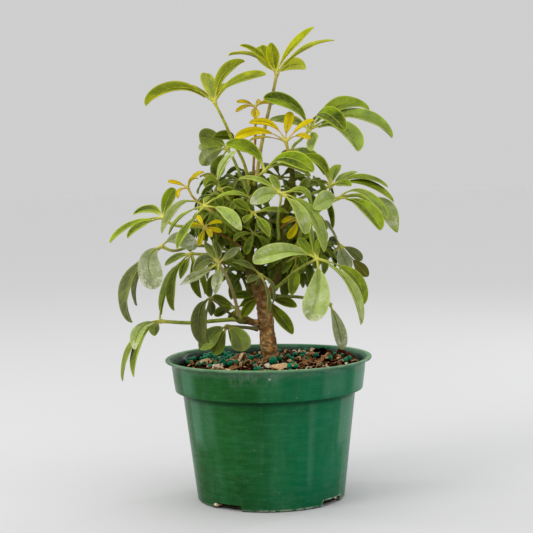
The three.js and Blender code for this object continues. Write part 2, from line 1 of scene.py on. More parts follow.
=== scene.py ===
"""Potted variegated dwarf umbrella plant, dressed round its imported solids.

Lengths are written in millimetres and turned into metres by the MM factor. X runs to the right,
Y away from the front and Z up; the origin is the centre of the pot's underside.
"""

import logging
import math
import random
from contextlib import contextmanager
from dataclasses import dataclass, field
from enum import Enum
from typing import Any, Callable, Iterator, Sequence

import bpy
import numpy as np
from mathutils import Matrix, Vector, noise

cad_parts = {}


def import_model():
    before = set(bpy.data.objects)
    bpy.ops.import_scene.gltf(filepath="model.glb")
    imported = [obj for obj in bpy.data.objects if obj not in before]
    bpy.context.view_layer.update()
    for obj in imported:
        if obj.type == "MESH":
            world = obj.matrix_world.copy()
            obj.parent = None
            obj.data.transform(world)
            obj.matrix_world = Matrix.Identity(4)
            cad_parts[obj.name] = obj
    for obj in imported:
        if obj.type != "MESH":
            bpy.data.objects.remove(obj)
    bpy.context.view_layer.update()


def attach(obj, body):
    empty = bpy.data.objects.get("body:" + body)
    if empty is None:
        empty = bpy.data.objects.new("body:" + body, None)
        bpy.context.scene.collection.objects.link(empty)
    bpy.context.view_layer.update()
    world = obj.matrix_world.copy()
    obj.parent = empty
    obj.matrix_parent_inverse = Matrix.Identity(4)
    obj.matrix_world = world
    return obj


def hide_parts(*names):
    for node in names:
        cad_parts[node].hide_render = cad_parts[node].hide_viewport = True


LOG = logging.getLogger("umbrella_plant")
MM = 0.001
EYE_DISTANCE = 1177.0
EYE_HEIGHT = 269.4
GOLDEN_SHARE = 0.618
FULL_TURN = 6.3
LOOK = "look"
UV_MAP = "UVMap"

Item = bpy.types.Object
Mesh = bpy.types.Mesh
Material = bpy.types.Material
Row = tuple[float, ...]
Place = tuple[float, float, float]
Colour = tuple[float, float, float]
Tones = tuple[Colour, Colour]
Copies = list[tuple[Matrix, Row]]
Line = tuple[np.ndarray, np.ndarray]
FRONT_TO_BACK = Vector((0, 1, 0))


def smooth_step(value: float, low: float, high: float) -> float:
    """Blend smoothly from 0 at low to 1 at high."""
    share = min(max((value - low) / (high - low), 0.0), 1.0)
    return share * share * (3 - 2 * share)


def scaled(colour: Colour, share: float) -> Colour:
    """Give a colour with its three parts multiplied by a share."""
    return tuple(share * part for part in colour)


def place(x: float, z: float, y: float) -> Vector:
    """Find the point that lines up with (x, z) on the plane of the pot's axis.

    Args:
        x: Place to the right on the plane through the pot's axis, in millimetres.
        z: Height on that plane, in millimetres.
        y: True depth behind that plane, in millimetres.

    Returns:
        The point in millimetres.
    """
    spread = 1 + y / EYE_DISTANCE
    return Vector((x * spread, y, EYE_HEIGHT + (z - EYE_HEIGHT) * spread))


# ---- Mesh tools ----
def activate(item: Item) -> None:
    """Select one object alone and make it the active one."""
    bpy.ops.object.select_all(action="DESELECT")
    item.select_set(True)
    bpy.context.view_layer.objects.active = item


def start_with(operator: Callable[..., Any], **settings: Any) -> Item:
    """Add an object with one of Blender's operators, alone in the selection.

    Args:
        operator: The operator that adds it.
        settings: The operator's settings by name.

    Returns:
        The new object.
    """
    bpy.ops.object.select_all(action="DESELECT")
    operator(**settings)
    return bpy.context.object


def add_object(name: str, data: Any) -> Item:
    """Put an object with this data into the scene."""
    item = bpy.data.objects.new(name, data)
    bpy.context.scene.collection.objects.link(item)
    return item


@contextmanager
def editing() -> Iterator[None]:
    """Work on the whole mesh of the active object in edit mode."""
    bpy.ops.object.mode_set(mode="EDIT")
    bpy.ops.mesh.select_all(action="SELECT")
    yield
    bpy.ops.object.mode_set(mode="OBJECT")


def apply_modifier(item: Item, kind: str, **settings: Any) -> None:
    """Add a modifier to an object and apply it.

    Args:
        item: The object to change.
        kind: Blender's name for the modifier type.
        settings: The modifier's settings by name.
    """
    activate(item)
    modifier = item.modifiers.new(kind.title(), kind)
    for name, value in settings.items():
        setattr(modifier, name, value)
    bpy.ops.object.modifier_apply(modifier=modifier.name)


def join(items: Sequence[Item], name: str) -> Item:
    """Join mesh objects into the first one.

    Args:
        items: The objects to join.
        name: The joined object's name.

    Returns:
        The joined object.
    """
    bpy.ops.object.select_all(action="DESELECT")
    for item in items:
        item.select_set(True)
    bpy.context.view_layer.objects.active = items[0]
    if len(items) > 1:
        bpy.ops.object.join()
    items[0].name = items[0].data.name = name
    return items[0]


def coordinates(mesh: Mesh) -> np.ndarray:
    """Read a mesh's vertex positions as rows of x, y and z."""
    flat = np.zeros(len(mesh.vertices) * 3, np.float32)
    mesh.vertices.foreach_get("co", flat)
    return flat.reshape(-1, 3).astype(float)


def set_coordinates(mesh: Mesh, points: np.ndarray) -> None:
    """Write a mesh's vertex positions from rows of x, y and z."""
    mesh.vertices.foreach_set("co", points.astype(np.float32).ravel())
    mesh.update()


def smooth(item: Item, angle: float = 60.0) -> None:
    """Shade an object smooth, but keep edges sharper than the angle in degrees."""
    activate(item)
    bpy.ops.object.shade_smooth_by_angle(angle=math.radians(angle))


def dress(item: Item, *materials: Material) -> None:
    """Give an object these materials in this order."""
    item.data.materials.clear()
    for material in materials:
        item.data.materials.append(material)


def paint(mesh: Mesh, values: np.ndarray) -> None:
    """Store four numbers for each vertex as the mesh's look."""
    layer = mesh.color_attributes.new(LOOK, "FLOAT_COLOR", "POINT")
    layer.data.foreach_set("color", values.astype(np.float32).ravel())


def seat(item: Item, slot: str, *nodes: str) -> None:
    """Let a finished piece ride on the body and stand for its solids.

    Args:
        item: The finished piece.
        slot: The name of a material slot; not used.
        nodes: The solids that it replaces.
    """
    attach(item, "root")
    if nodes:
        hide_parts(*nodes)
    LOG.info("%s: %d faces", item.name, len(item.data.polygons))


def repeat(template: Item, name: str, copies: Copies) -> Item:
    """Copy a modelled template many times into one mesh.

    Args:
        template: The object that was modelled once.
        name: The name of the new object.
        copies: A matrix in millimetres and the look to paint, for each copy.

    Returns:
        One object with all the copies; the template is removed.
    """
    base = np.c_[coordinates(template.data), np.ones(len(template.data.vertices))]
    faces = [tuple(face.vertices) for face in template.data.polygons]
    points: list[np.ndarray] = []
    loops: list[tuple[int, ...]] = []
    looks: list[np.ndarray] = []
    for matrix, look in copies:
        start = len(points) * len(base)
        points.append((base @ np.array(matrix).T)[:, :3])
        loops.extend(tuple(start + corner for corner in face) for face in faces)
        looks.append(np.tile(look, (len(base), 1)))
    mesh = bpy.data.meshes.new(name)
    mesh.from_pydata((np.vstack(points) * MM).tolist(), [], loops)
    paint(mesh, np.vstack(looks))
    bpy.data.objects.remove(template)
    return add_object(name, mesh)


def turned(rings: Sequence[tuple[float, float]], segments: int, name: str) -> Item:
    """Turn a closed round solid by extruding a disc ring by ring.

    Args:
        rings: The radius and height of each ring in millimetres, from the first disc to the last.
        segments: How many sides the turned solid has.
        name: The new object's name.

    Returns:
        The turned object.
    """
    radius, height = rings[0]
    item = start_with(bpy.ops.mesh.primitive_circle_add, vertices=segments, radius=radius * MM,
                      fill_type="NGON", location=(0, 0, height * MM))
    bpy.ops.object.transform_apply(location=True)
    with editing():
        for next_radius, next_height in rings[1:]:
            rise = (0, 0, (next_height - height) * MM)
            bpy.ops.mesh.extrude_region_move(TRANSFORM_OT_translate={"value": rise})
            share = next_radius / radius
            bpy.ops.transform.resize(value=(share, share, 1), center_override=(0, 0, 0))
            radius, height = next_radius, next_height
        bpy.ops.mesh.select_all(action="SELECT")
        bpy.ops.mesh.normals_make_consistent(inside=False)
    item.name = name
    return item


# ---- Curves ----
class Path:
    """A smooth path in space with even steps along its length."""

    SAMPLES = 240

    def __init__(self, points: np.ndarray) -> None:
        """Keep the dense points of a path and measure along them."""
        self.points = points
        steps = np.linalg.norm(np.diff(points, axis=0), axis=1)
        self.lengths = np.r_[0, np.cumsum(steps)]
        self.length = float(self.lengths[-1])

    @classmethod
    def bend(cls, start: Vector, middle: Vector, end: Vector) -> "Path":
        """Make the single bend that passes its middle point halfway."""
        control = 2 * middle - 0.5 * start - 0.5 * end
        share = np.linspace(0, 1, cls.SAMPLES)[:, None]
        return cls((1 - share) ** 2 * np.array(start) + 2 * share * (1 - share) * np.array(control)
                   + share ** 2 * np.array(end))

    @classmethod
    def through(cls, places: Sequence[Vector]) -> "Path":
        """Make a smooth path through the places, evenly eased where they are close together."""
        knots = [2 * places[0] - places[1], *places, 2 * places[-1] - places[-2]]
        dense: list[Vector] = []
        count = max(6, cls.SAMPLES // (len(places) - 1))
        for index in range(1, len(knots) - 2):
            p = [np.array(knots[index + step]) for step in (-1, 0, 1, 2)]
            t = [0.0]
            for first, second in zip(p, p[1:]):
                t.append(t[-1] + max(np.linalg.norm(second - first), 1e-6) ** 0.5)
            for time in np.linspace(t[1], t[2], count, endpoint=index == len(knots) - 3):
                a = [((t[i + 1] - time) * p[i] + (time - t[i]) * p[i + 1]) / (t[i + 1] - t[i])
                     for i in range(3)]
                b = [((t[i + 2] - time) * a[i] + (time - t[i]) * a[i + 1]) / (t[i + 2] - t[i])
                     for i in range(2)]
                dense.append(((t[2] - time) * b[0] + (time - t[1]) * b[1]) / (t[2] - t[1]))
        return cls(np.array(dense))

    def at(self, shares: Sequence[float]) -> np.ndarray:
        """Find the points at these shares of the path's length."""
        wanted = np.clip(np.asarray(shares), 0, 1) * self.length
        return np.stack([np.interp(wanted, self.lengths, self.points[:, axis])
                         for axis in range(3)], axis=1)

    def tangents(self, shares: Sequence[float]) -> np.ndarray:
        """Find the directions at these shares of the path's length."""
        span = 0.01
        shares = np.asarray(shares)
        ahead = self.at(np.minimum(shares + span, 1)) - self.at(np.maximum(shares - span, 0))
        return ahead / np.linalg.norm(ahead, axis=1)[:, None]


def tubes(name: str, lines: Sequence[Line], roundness: int = 2) -> Item:
    """Model round stems as bevelled curves and turn them into one mesh.

    Args:
        name: The new object's name.
        lines: The points and the radius at each point, in millimetres, for each stem.
        roundness: The bevel resolution of the round section.

    Returns:
        The mesh object.
    """
    item = start_with(bpy.ops.curve.primitive_nurbs_path_add, radius=1, location=(0, 0, 0))
    curve = item.data
    curve.splines.clear()
    curve.dimensions = "3D"
    curve.bevel_depth = MM
    curve.bevel_resolution = roundness
    curve.use_fill_caps = True
    for points, radii in lines:
        spline = curve.splines.new("POLY")
        spline.points.add(len(points) - 1)
        flat = np.c_[points * MM, np.ones(len(points))]
        spline.points.foreach_set("co", flat.astype(np.float32).ravel())
        spline.points.foreach_set("radius", np.asarray(radii, np.float32))
        spline.use_smooth = True
    activate(item)
    bpy.ops.object.convert(target="MESH")
    item = bpy.context.object
    item.name = item.data.name = name
    with editing():
        bpy.ops.mesh.remove_doubles(threshold=1e-6)
        bpy.ops.mesh.normals_make_consistent(inside=False)
    return item


# ---- Shader tools ----
@dataclass(frozen=True)
class Signal:
    """A value that flows through a node tree and can be calculated with."""

    sheet: "Sheet"
    socket: bpy.types.NodeSocket

    def __mul__(self, other: Any) -> "Signal":
        """Multiply it by a number or another signal."""
        return self.sheet.math("MULTIPLY", self, other)

    def __add__(self, other: Any) -> "Signal":
        """Add a number or another signal to it."""
        return self.sheet.math("ADD", self, other)

    def __sub__(self, other: Any) -> "Signal":
        """Take a number or another signal from it."""
        return self.sheet.math("SUBTRACT", self, other)

    def __rsub__(self, other: float) -> "Signal":
        """Take it from a number."""
        return self.sheet.math("SUBTRACT", other, self)

    def ease(self, low: Any, high: Any, start: float = 0.0, end: float = 1.0) -> "Signal":
        """Map it smoothly from low to high onto start to end."""
        return self.sheet.flow("MapRange", {0: self, 1: low, 2: high, 3: start, 4: end},
                               interpolation_type="SMOOTHSTEP")


class Sheet:
    """A node tree with short ways to add and wire nodes."""

    def __init__(self, tree: bpy.types.NodeTree) -> None:
        """Work on one tree."""
        self.tree = tree

    def add(self, kind: str, inputs: dict[Any, Any] | None = None, **settings: Any) -> Any:
        """Add a node, set its options and fill or wire its inputs.

        Args:
            kind: Blender's name for the node type, without ShaderNode in front.
            inputs: A value, a signal or a socket for each input, by name or number.
            settings: The node's options by name.

        Returns:
            The new node.
        """
        node = self.tree.nodes.new("ShaderNode" + kind)
        for name, value in settings.items():
            setattr(node, name, value)
        for key, value in (inputs or {}).items():
            self.fill(node.inputs[key], value)
        return node

    def flow(self, kind: str, inputs: dict[Any, Any] | None = None, output: int | str = 0,
             **settings: Any) -> Signal:
        """Add a node and give one of its outputs as a signal."""
        return Signal(self, self.add(kind, inputs, **settings).outputs[output])

    def fill(self, socket: Any, value: Any) -> None:
        """Wire a signal or an output to a socket, or set its value."""
        if isinstance(value, Signal):
            value = value.socket
        if isinstance(value, bpy.types.NodeSocket):
            self.tree.links.new(value, socket)
        elif isinstance(value, tuple) and len(value) == 3 and socket.type == "RGBA":
            socket.default_value = (*value, 1)
        else:
            socket.default_value = value

    def math(self, operation: str, *values: Any, clamp: bool = False) -> Signal:
        """Calculate with numbers and signals."""
        return self.flow("Math", dict(enumerate(values)), operation=operation,
                         use_clamp=clamp)

    def vector_math(self, operation: str, output: str, *values: Any) -> Signal:
        """Calculate with places or directions."""
        return self.flow("VectorMath", dict(enumerate(values)), output,
                         operation=operation)

    def blend(self, factor: Any, first: Any, second: Any, mode: str = "MIX",
              label: str = "") -> Signal:
        """Mix two colours, in a node with this label."""
        return self.flow("Mix", {"Factor": factor, 6: first, 7: second}, 2,
                         data_type="RGBA", blend_type=mode, label=label)

    def ramp(self, value: Signal, stops: Sequence[tuple[float, Colour]]) -> Signal:
        """Map a value onto a ramp of colours that runs from 0 to 1.

        Args:
            value: The value.
            stops: The place on the ramp and the colour of each stop.

        Returns:
            The colour.
        """
        node = self.add("ValToRGB", {0: value})
        first, last = node.color_ramp.elements
        first.color, last.color = (*stops[0][1], 1), (*stops[-1][1], 1)
        for position, colour in stops[1:-1]:
            node.color_ramp.elements.new(position).color = (*colour, 1)
        return Signal(self, node.outputs[0])

    def noise(self, scale: Any, spot: Signal, detail: Any = 3.0, rough: float = 0.55,
              distortion: float = 0.0) -> Signal:
        """Add a noise pattern on a place."""
        return self.flow("TexNoise", {
            "Scale": scale, "Vector": spot, "Detail": detail, "Roughness": rough,
            "Distortion": distortion}, "Fac")

    def spot(self) -> Signal:
        """Read the place on the object."""
        return self.flow("TexCoord", output="Object")

    def axes(self, vector: Signal) -> list[Signal]:
        """Split a vector into its three parts."""
        node = self.add("SeparateXYZ", {0: vector})
        return [Signal(self, socket) for socket in node.outputs]

    def look(self) -> list[Signal]:
        """Read the four numbers that are painted on the mesh."""
        node = self.add("Attribute", attribute_name=LOOK)
        parts = self.add("SeparateColor", {0: node.outputs["Color"]})
        return [Signal(self, socket) for socket in (*parts.outputs, node.outputs["Alpha"])]


class Group(Enum):
    """The shader node groups that more than one material uses, with their usual values."""

    WEAR = ("Patchy wear", {"Scale": 40.0, "Stretch": 1.0, "Amount": 0.5, "Softness": 0.1},
            ("Mask",))
    GRAIN = ("Fine grain", {"Scale": 600.0, "Detail": 3.0}, ("Value",))
    FIGURE = ("Leaflet figure", {"Rib width": 0.05, "Vein count": 8.0, "Margin width": 0.25},
              ("Rib", "Veins", "Margin", "Rim", "Half", "Tip", "Dust", "Withered", "Light"))

    def __init__(self, title: str, usual: dict[str, float], results: tuple[str, ...]) -> None:
        """Keep the group's title, its inputs with their usual values and its outputs."""
        self.title = title
        self.usual = usual
        self.results = results


class ShaderGroups:
    """Builds each shader node group once."""

    def __init__(self) -> None:
        """Build all the groups."""
        makers: dict[Group, Callable[[Sheet, dict[str, Signal]], tuple[Signal, ...]]] = {
            Group.WEAR: self.wear, Group.GRAIN: self.grain, Group.FIGURE: self.figure}
        for group, make in makers.items():
            tree = bpy.data.node_groups.new(group.title, "ShaderNodeTree")
            for name, value in group.usual.items():
                tree.interface.new_socket(name, in_out="INPUT", socket_type="NodeSocketFloat"
                                          ).default_value = value
            for name in group.results:
                tree.interface.new_socket(name, in_out="OUTPUT", socket_type="NodeSocketFloat")
            sheet = Sheet(tree)
            source = tree.nodes.new("NodeGroupInput").outputs
            result = tree.nodes.new("NodeGroupOutput").inputs
            given = {name: Signal(sheet, source[name]) for name in group.usual}
            for name, signal in zip(group.results, make(sheet, given)):
                sheet.fill(result[name], signal)

    @staticmethod
    def wear(sheet: Sheet, given: dict[str, Signal]) -> tuple[Signal, ...]:
        """Make irregular patches, drawn out up and down by Stretch."""
        flat = sheet.math("DIVIDE", 1.0, given["Stretch"])
        scale = sheet.flow("CombineXYZ", {0: 1.0, 1: 1.0, 2: flat})
        spot = sheet.flow("Mapping", {"Vector": sheet.spot(), "Scale": scale})
        broad = sheet.noise(given["Scale"], spot, 5.0, 0.62, 0.3)
        fine = sheet.noise(given["Scale"] * 5.3, spot, 3.0, 0.7)
        level = 0.74 - given["Amount"] * 0.5
        soft = given["Softness"]
        return ((broad * 0.7 + fine * 0.3).ease(level - soft, level + soft),)

    @staticmethod
    def grain(sheet: Sheet, given: dict[str, Signal]) -> tuple[Signal, ...]:
        """Make a fine even grain."""
        return (sheet.noise(given["Scale"], sheet.spot(), given["Detail"]),)

    @staticmethod
    def figure(sheet: Sheet, given: dict[str, Signal]) -> tuple[Signal, ...]:
        """Draw a leaflet's rib, veins and margin on its own UV map, mark the half beside the rib
        that is painted in shade, and read its look.
        """
        side, along, _ = sheet.axes(sheet.flow("UVMap", uv_map=UV_MAP))
        dust, withered, light, inward = sheet.look()
        spot = sheet.spot()
        across = sheet.math("ABSOLUTE", side - 0.5)
        rib = across.ease(given["Rib width"] * 0.35, given["Rib width"], 1.0, 0.0)
        slant = along - across * 0.42 + across * across * 0.3
        phase = sheet.math("FRACT", slant * given["Vein count"])
        vein = sheet.math("ABSOLUTE", phase - 0.5).ease(0.02, 0.16, 1.0, 0.0)
        ragged = sheet.noise(230.0, spot, 3.0, 0.6)
        reach = given["Margin width"] * (ragged * 2.0)
        margin = inward.ease(reach * 0.45, reach, 1.0, 0.0)
        blotch = sheet.noise(95.0, spot, 4.0, 0.6)
        rim = sheet.math("DIVIDE", inward, blotch).ease(0.1, 1.9, 1.0, 0.0)
        # The fifth result marks one side of the midrib, which the upper face darkens as painted
        # shade.
        return (rib, vein * across.ease(0.3, 0.48, 1.0, 0.0), margin, rim, side.ease(0.47, 0.53),
                along, dust, withered, light)


class Finish:
    """A material with a principled shader, whose colour is laid on in coats."""

    def __init__(self, name: str, **constants: Any) -> None:
        """Make an empty material.

        Args:
            name: The material's name.
            constants: The shader's plain values, with underscores for spaces.
        """
        self.material = bpy.data.materials.new(name)
        self.material.use_nodes = True
        self.sheet = Sheet(self.material.node_tree)
        self.base: Any = (0.5, 0.5, 0.5)
        nodes = self.material.node_tree.nodes
        self.shader = next(node for node in nodes if node.type == "BSDF_PRINCIPLED")
        for key, value in constants.items():
            self.wire(key.replace("_", " "), value)

    def wire(self, key: str, value: Any) -> None:
        """Fill or wire one of the shader's inputs."""
        self.sheet.fill(self.shader.inputs[key], value)

    def group(self, kind: Group, **values: Any) -> dict[str, Signal]:
        """Place a shader group in the material with its own values."""
        node = self.sheet.add("Group", node_tree=bpy.data.node_groups[kind.title])
        for key, value in values.items():
            self.sheet.fill(node.inputs[key.replace("_", " ").capitalize()], value)
        return {name: Signal(self.sheet, node.outputs[name]) for name in kind.results}

    def wear(self, scale: float, amount: float, softness: float, stretch: float = 1.0) -> Signal:
        """Mask irregular patches."""
        return self.group(Group.WEAR, scale=scale, amount=amount, softness=softness,
                          stretch=stretch)["Mask"]

    def grain(self, scale: float, detail: float) -> Signal:
        """Make a fine even grain."""
        return self.group(Group.GRAIN, scale=scale, detail=detail)["Value"]

    def start(self, factor: Signal, first: Colour, second: Colour) -> None:
        """Set out the base colour between two tones."""
        self.base = self.sheet.blend(factor, first, second, label="Base tones")

    def lay(self, label: str, colour: Any, mask: Signal) -> None:
        """Lay a coat of colour over the base where the mask is high."""
        self.base = self.sheet.blend(mask, self.base, colour, label=label)

    def done(self, height: Signal, distance: float, strength: float = 1.0) -> Material:
        """Wire the base colour and the relief.

        Args:
            height: The relief.
            distance: How far it stands out, in millimetres.
            strength: How much it counts.

        Returns:
            The finished material.
        """
        self.wire("Base Color", self.base)
        self.wire("Normal", self.sheet.flow("Bump", {
            "Height": height, "Distance": distance * MM, "Strength": strength}))
        return self.material


# ---- Studio ----
@dataclass(frozen=True)
class SoftBox:
    """A rectangular studio light: places and sizes in metres, power in watts."""

    name: str
    place: Place
    size: tuple[float, float]
    power: float
    colour: Colour = (1.0, 1.0, 1.0)


@dataclass
class Studio:
    """The floor, the lights and the camera."""

    floor_size: float = 16.0
    floor_colour: Colour = (0.555, 0.555, 0.56)
    backdrop_colour: Colour = (0.62, 0.62, 0.625)
    horizon_glow: float = 0.06
    zenith_glow: float = 1.6
    aim: Place = (0.0, 0.0, 0.18)
    boxes: tuple[SoftBox, ...] = (
        SoftBox("Key light", (-1.15, -0.85, 1.05), (0.7, 0.7), 9.0, (1.0, 0.985, 0.95)),
        SoftBox("Left strip", (-1.2, 0.35, 0.5), (0.2, 0.75), 2.8, (1.0, 0.99, 0.97)),
        SoftBox("Right strip", (0.95, 0.8, 0.5), (0.16, 0.75), 2.4, (0.96, 0.98, 1.0)),
        SoftBox("Right window", (1.15, -0.52, 0.5), (0.1, 0.75), 1.3),
        SoftBox("Back light", (0.3, 1.3, 1.0), (0.9, 0.9), 1.2),
    )
    sensor_width: float = 36.0
    focal_length: float = 103.1
    pitch: float = 0.076
    roll: float = -0.0213

    def build(self) -> None:
        """Make the whole studio."""
        self.make_floor()
        self.make_world()
        for box in self.boxes:
            self.make_light(box)
        self.make_camera()
        bpy.context.scene.view_settings.view_transform = "Standard"

    def make_floor(self) -> None:
        """Lay the plain pale floor."""
        floor = start_with(bpy.ops.mesh.primitive_plane_add, size=self.floor_size)
        floor.name = "Floor"
        finish = Finish("Pale floor", Roughness=0.9)
        finish.start(finish.grain(60.0, 2.0), self.floor_colour, scaled(self.floor_colour, 0.985))
        finish.wire("Base Color", finish.base)
        dress(floor, finish.material)

    def make_world(self) -> None:
        """Light the studio evenly, with a backdrop tone that meets the floor."""
        world = bpy.data.worlds.new("Studio")
        bpy.context.scene.world = world
        world.use_nodes = True
        world.node_tree.nodes.clear()
        sheet = Sheet(world.node_tree)
        seen = sheet.flow("Background", {"Color": self.backdrop_colour, "Strength": 1.0})
        height = sheet.axes(sheet.flow("TexCoord", output="Generated"))[2]
        strength = sheet.flow("MapRange", {0: height, 1: 0.0, 2: 1.0,
                                                     3: self.horizon_glow, 4: self.zenith_glow})
        glow = sheet.flow("Background", {"Color": (1.0, 1.0, 1.0), "Strength": strength})
        camera_ray = sheet.flow("LightPath", output="Is Camera Ray")
        mix = sheet.flow("MixShader", {0: camera_ray, 1: glow, 2: seen})
        sheet.add("OutputWorld", {0: mix})

    def make_light(self, box: SoftBox) -> None:
        """Hang one soft box and turn it to the plant."""
        light = bpy.data.lights.new(box.name, "AREA")
        light.shape = "RECTANGLE"
        light.size, light.size_y = box.size
        light.energy = box.power
        light.color = box.colour
        item = add_object(box.name, light)
        item.location = box.place
        direction = Vector(self.aim) - Vector(box.place)
        item.rotation_euler = direction.to_track_quat("-Z", "Y").to_euler()

    def make_camera(self) -> None:
        """Set up the camera in front of the pot, a little above its middle."""
        camera = bpy.data.cameras.new("Camera")
        camera.sensor_width = self.sensor_width
        camera.lens = self.focal_length
        item = add_object("Camera", camera)
        ahead = Vector((0, math.cos(self.pitch), -math.sin(self.pitch)))
        up = Vector((0, math.sin(self.pitch), math.cos(self.pitch)))
        right = Vector((1, 0, 0))
        tilted_right = right * math.cos(self.roll) + up * math.sin(self.roll)
        tilted_up = up * math.cos(self.roll) - right * math.sin(self.roll)
        turn = Matrix((tilted_right, tilted_up, -ahead)).transposed().to_4x4()
        spot = Matrix.Translation((0, -EYE_DISTANCE * MM, EYE_HEIGHT * MM))
        item.matrix_world = spot @ turn
        bpy.context.scene.camera = item


# ---- Pot ----
@dataclass(frozen=True)
class Column:
    """An upright column of the pot's wall.

    Its edges are turns from the front in degrees, its foot and top are heights in metres.
    """

    low: float
    high: float
    foot: float
    top: float
    share: float
    edge: float = 2.2

    def mask(self, turn: Signal, level: Signal) -> Signal:
        """Mask the column.

        Args:
            turn: The turn from the front, in radians.
            level: The height, made ragged.

        Returns:
            The mask.
        """
        low, high, soft = (math.radians(part) for part in (self.low, self.high, self.edge))
        sides = turn.ease(low - soft, low + soft) * turn.ease(high + 2 * soft, high - 2 * soft)
        rise = level.ease(self.foot - 0.006, self.foot + 0.006)
        return sides * rise * level.ease(self.top + 0.001, self.top - 0.001) * self.share


@dataclass
class Pot:
    """The round tapered plastic pot with its band, rolled lip and drain notches."""

    height: float = 110.0
    rim_radius: float = 80.0
    base_radius: float = 57.25
    body_top_radius: float = 67.2
    band_bottom: float = 85.0
    band_bottom_radius: float = 72.8
    band_top_radius: float = 75.5
    wall: float = 1.8
    floor: float = 2.0
    notch_width: float = 24.7
    notch_height: float = 4.7
    notch_depth: float = 6.0
    notch_bevel: float = 1.3
    first_notch: float = -35.5
    segments: int = 144
    crease: float = 28.0
    oval: float = 0.0016
    ripple: float = 0.0009
    lip_zone: float = 6.0
    lip_wave: float = 0.22
    nick: Place = (0.0005, -0.0749, 0.1028)
    # Paler columns of the wall, which are painted reflections of bright light on the satin plastic,
    # and one where water has run down the band.
    painted_reflections: tuple[Column, ...] = (
        Column(-64, -52, 0.047, 0.083, 0.46), Column(-50, -40, 0.05, 0.083, 0.2),
        Column(27, 30, 0.018, 0.083, 0.34), Column(54, 76, 0.046, 0.083, 0.62),
        Column(62, 72, 0.0, 0.045, 0.4), Column(-62, -50, 0.086, 0.106, 0.42),
        Column(33, 50, 0.088, 0.106, 0.34), Column(60, 84, 0.086, 0.106, 0.66))
    dripped: Column = Column(-23, 4, 0.1, 0.106, 0.34)

    def build(self) -> None:
        """Model and dress the pot."""
        pot = turned(self.profile(), self.segments, "pot_shell")
        self.cut_notches(pot)
        smooth(pot, self.crease)
        self.settle(pot)
        dress(pot, self.plastic())
        seat(pot, "pot_plastic", "pot")

    def profile(self) -> list[tuple[float, float]]:
        """List the rings of the pot's section, from the underside round to the inside floor."""
        base, body, low, high = (self.base_radius, self.body_top_radius, self.band_bottom_radius,
                                 self.band_top_radius)
        rim, foot, top, wall = self.rim_radius, self.band_bottom, self.height, self.wall
        return [
            (base - 3, 0.3), (base - 1.6, 0.0), (base - 0.6, 0.15), (base, 0.9),
            *((base + share * (body - base), share * foot)
              for share in (0.12, 0.3, 0.5, 0.7, 0.88)),
            (body - 0.1, foot - 1.3), (body + 0.25, foot - 0.45), (body + 0.9, foot - 0.1),
            (low - 0.9, foot), (low - 0.25, foot + 0.25), (low, foot + 0.9),
            *((low + share * (high - low), foot + share * (top - 3 - foot))
              for share in (0.33, 0.66)),
            (high - 0.1, top - 3.0), (high + 0.35, top - 2.3), (high + 1.1, top - 2.0),
            (rim - 1.0, top - 1.9), (rim - 0.2, top - 1.7), (rim, top - 1.1),
            (rim - 0.15, top - 0.5), (rim - 0.8, top - 0.08), (rim - 1.6, top),
            (high + 1.2, top - 0.2), (high + 0.2, top - 0.9), (high - 0.9, top - 2.2),
            (high - wall, top - 4.0), (low - wall, foot + 2.4), (low - wall - 0.8, foot + 1.2),
            (body - wall + 0.6, foot - 0.2), (body - wall, foot - 1.2),
            (base - wall, self.floor + 1.0), (base - wall - 1.0, self.floor)]

    def cut_notches(self, pot: Item) -> None:
        """Cut the four drain notches out of the foot of the wall."""
        for turn in range(4):
            cutter = start_with(bpy.ops.mesh.primitive_cube_add, size=1)
            cutter.dimensions = (self.notch_width * MM, 2 * self.notch_depth * MM,
                                 2 * self.notch_height * MM)
            cutter.location = (0, -self.base_radius * MM, 0)
            bpy.ops.object.transform_apply(location=True, scale=True)
            apply_modifier(cutter, "BEVEL", width=self.notch_bevel * MM, segments=3,
                           limit_method="ANGLE")
            cutter.rotation_euler = (0, 0, math.radians(self.first_notch + 90 * turn))
            apply_modifier(pot, "BOOLEAN", object=cutter, operation="DIFFERENCE", solver="EXACT")
            bpy.data.objects.remove(cutter)

    def settle(self, pot: Item) -> None:
        """Let the wall and lip run a little out of round, as a used nursery pot does."""
        points = coordinates(pot.data)
        angle = np.arctan2(points[:, 1], points[:, 0])
        share = np.clip(points[:, 2] / (self.height * MM), 0, 1) ** 2
        swell = 1 + share * (self.oval * np.sin(2 * angle + 0.6)
                             + self.ripple * np.sin(5 * angle + 1.1))
        points[:, 0] *= swell
        points[:, 1] *= swell
        lift = np.clip((points[:, 2] / MM - (self.height - self.lip_zone)) / self.lip_zone, 0, 1)
        points[:, 2] += lift * MM * (self.lip_wave * np.sin(3 * angle + 0.4) - self.lip_wave)
        set_coordinates(pot.data, points)

    def plastic(self) -> Material:
        """Make the satin green plastic with its scuffs and water marks, and its painted
        reflections, highlight, shadow and shade.
        """
        finish = Finish("Green pot plastic", Specular_IOR_Level=0.05, Coat_Weight=0.035,
                        Coat_Roughness=0.09)
        sheet = finish.sheet
        spot = sheet.spot()
        x, y, height = sheet.axes(spot)
        turn = sheet.math("ARCTAN2", x, y * -1.0)
        level = height + sheet.math("MULTIPLY_ADD", sheet.noise(160.0, spot), 0.008, -0.004)
        flat = sheet.vector_math("MULTIPLY", "Vector", spot, (1.0, 1.0, 0.0))
        radius = sheet.vector_math("LENGTH", "Value", flat)

